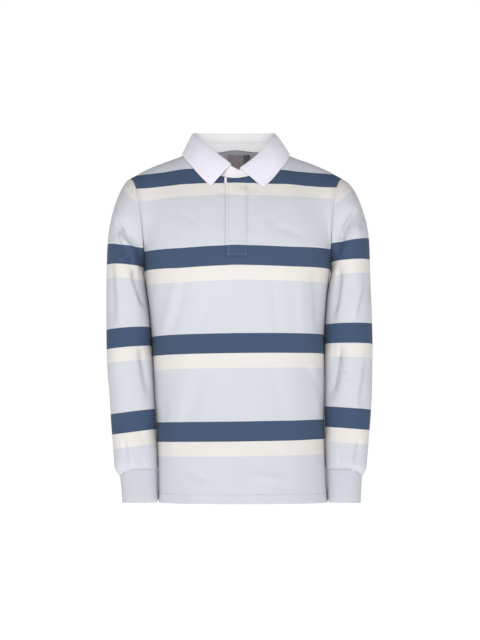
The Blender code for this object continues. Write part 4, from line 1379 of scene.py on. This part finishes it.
def make_cuff(hand, name):
    points = cuff_grid(hand)
    dressed("cuff_" + name, points, points[..., 2], CUFF_CLOTH, PLAIN_KNIT, around=True, flip=hand < 0)


STRIPED = jersey("striped_jersey", True)
PLAIN_KNIT = jersey("plain_knit", False)
# the collar's inside gets the lighter white: painted light
POPLIN = woven("white_woven", WHITE, inside=PAINTED_LIGHT_WHITE)
STAND_WEAVE = woven("warm_white_woven", WARM_WHITE)
# the stand's inner face in the lighter white: painted light, as that face lies in shade
STAND_PAINTED_LIGHT_LINING = woven("stand_inside_painted_light_woven", PAINTED_LIGHT_WHITE)
LABEL = woven("label_woven", TAUPE, *LABEL_WEAVE)
SIZE_CLOTH = woven("size_label_woven", DARK_TAUPE, *LABEL_WEAVE)
SEWING = {"blue": thread("blue_thread_and_painted_shade", BLUE_THREAD_AND_SHADE), "white": thread("white_thread", WHITE_THREAD)}

front, back = make_panel(-1, "front"), make_panel(1, "back")
placket = make_placket()
make_tape()
stand = make_stand(front, back)
make_collar(Under(((front, False), (back, True), (placket, False), (stand, True))))
make_label("neck_label", NECK_LABEL, LABEL)
make_label("size_label", SIZE_LABEL, SIZE_CLOTH)
for hand, name in HAND_NAME.items():
    make_sleeve(hand, name)
    make_cuff(hand, name)


# ---- floor, light and camera ----

def linked(name, data):
    item = bpy.data.objects.new(name, data)
    bpy.context.scene.collection.objects.link(item)
    return item


def area_light(name, place, size, watts):
    light = bpy.data.lights.new(name, "AREA")
    light.shape = "SQUARE"
    light.size = size
    light.energy = watts
    item = linked(name, light)
    item.location = place
    item.rotation_euler = (Vector(LIGHTS_AIM) - Vector(place)).to_track_quat("-Z", "Y").to_euler()


def pale_world():
    """White to the camera, and a weak light on the cloth."""
    world = bpy.data.worlds.new("pale_studio")
    world.use_nodes = True
    tree = world.node_tree
    seen = tree.nodes.new("ShaderNodeLightPath").outputs["Is Camera Ray"]
    level = tree.nodes.new("ShaderNodeMapRange")
    feed(tree, level, {"Value": seen, "To Min": AMBIENT, "To Max": 1.0})
    feed(tree, tree.nodes["Background"], {"Color": PURE_WHITE, "Strength": level.outputs[0]})
    bpy.context.scene.world = world


def glowing_floor():
    corners = [(x * FLOOR_REACH, y * FLOOR_REACH, FLOOR_Z) for x, y in ((-1, -1), (1, -1), (1, 1), (-1, 1))]
    mesh = bpy.data.meshes.new("floor")
    mesh.from_pydata(corners, [], [(0, 1, 2, 3)])
    material = bpy.data.materials.new("floor")
    material.use_nodes = True
    tree = material.node_tree
    feed(tree, tree.nodes["Principled BSDF"], {"Base Color": FLOOR_GREY, "Roughness": 1.0,
                                               "Emission Color": PURE_WHITE,
                                               "Emission Strength": FLOOR_GLOW})
    mesh.materials.append(material)
    linked("floor", mesh)


def camera():
    data = bpy.data.cameras.new("camera")
    data.lens = LENS
    data.sensor_width = SENSOR
    item = linked("camera", data)
    item.location = CAMERA_PLACE
    item.rotation_euler = (Vector(CAMERA_AIM) - Vector(CAMERA_PLACE)).to_track_quat("-Z", "Y").to_euler()
    bpy.context.scene.camera = item


bpy.context.scene.view_settings.view_transform = "Standard"
pale_world()
glowing_floor()
for light in LIGHTS:
    area_light(*light)
camera()
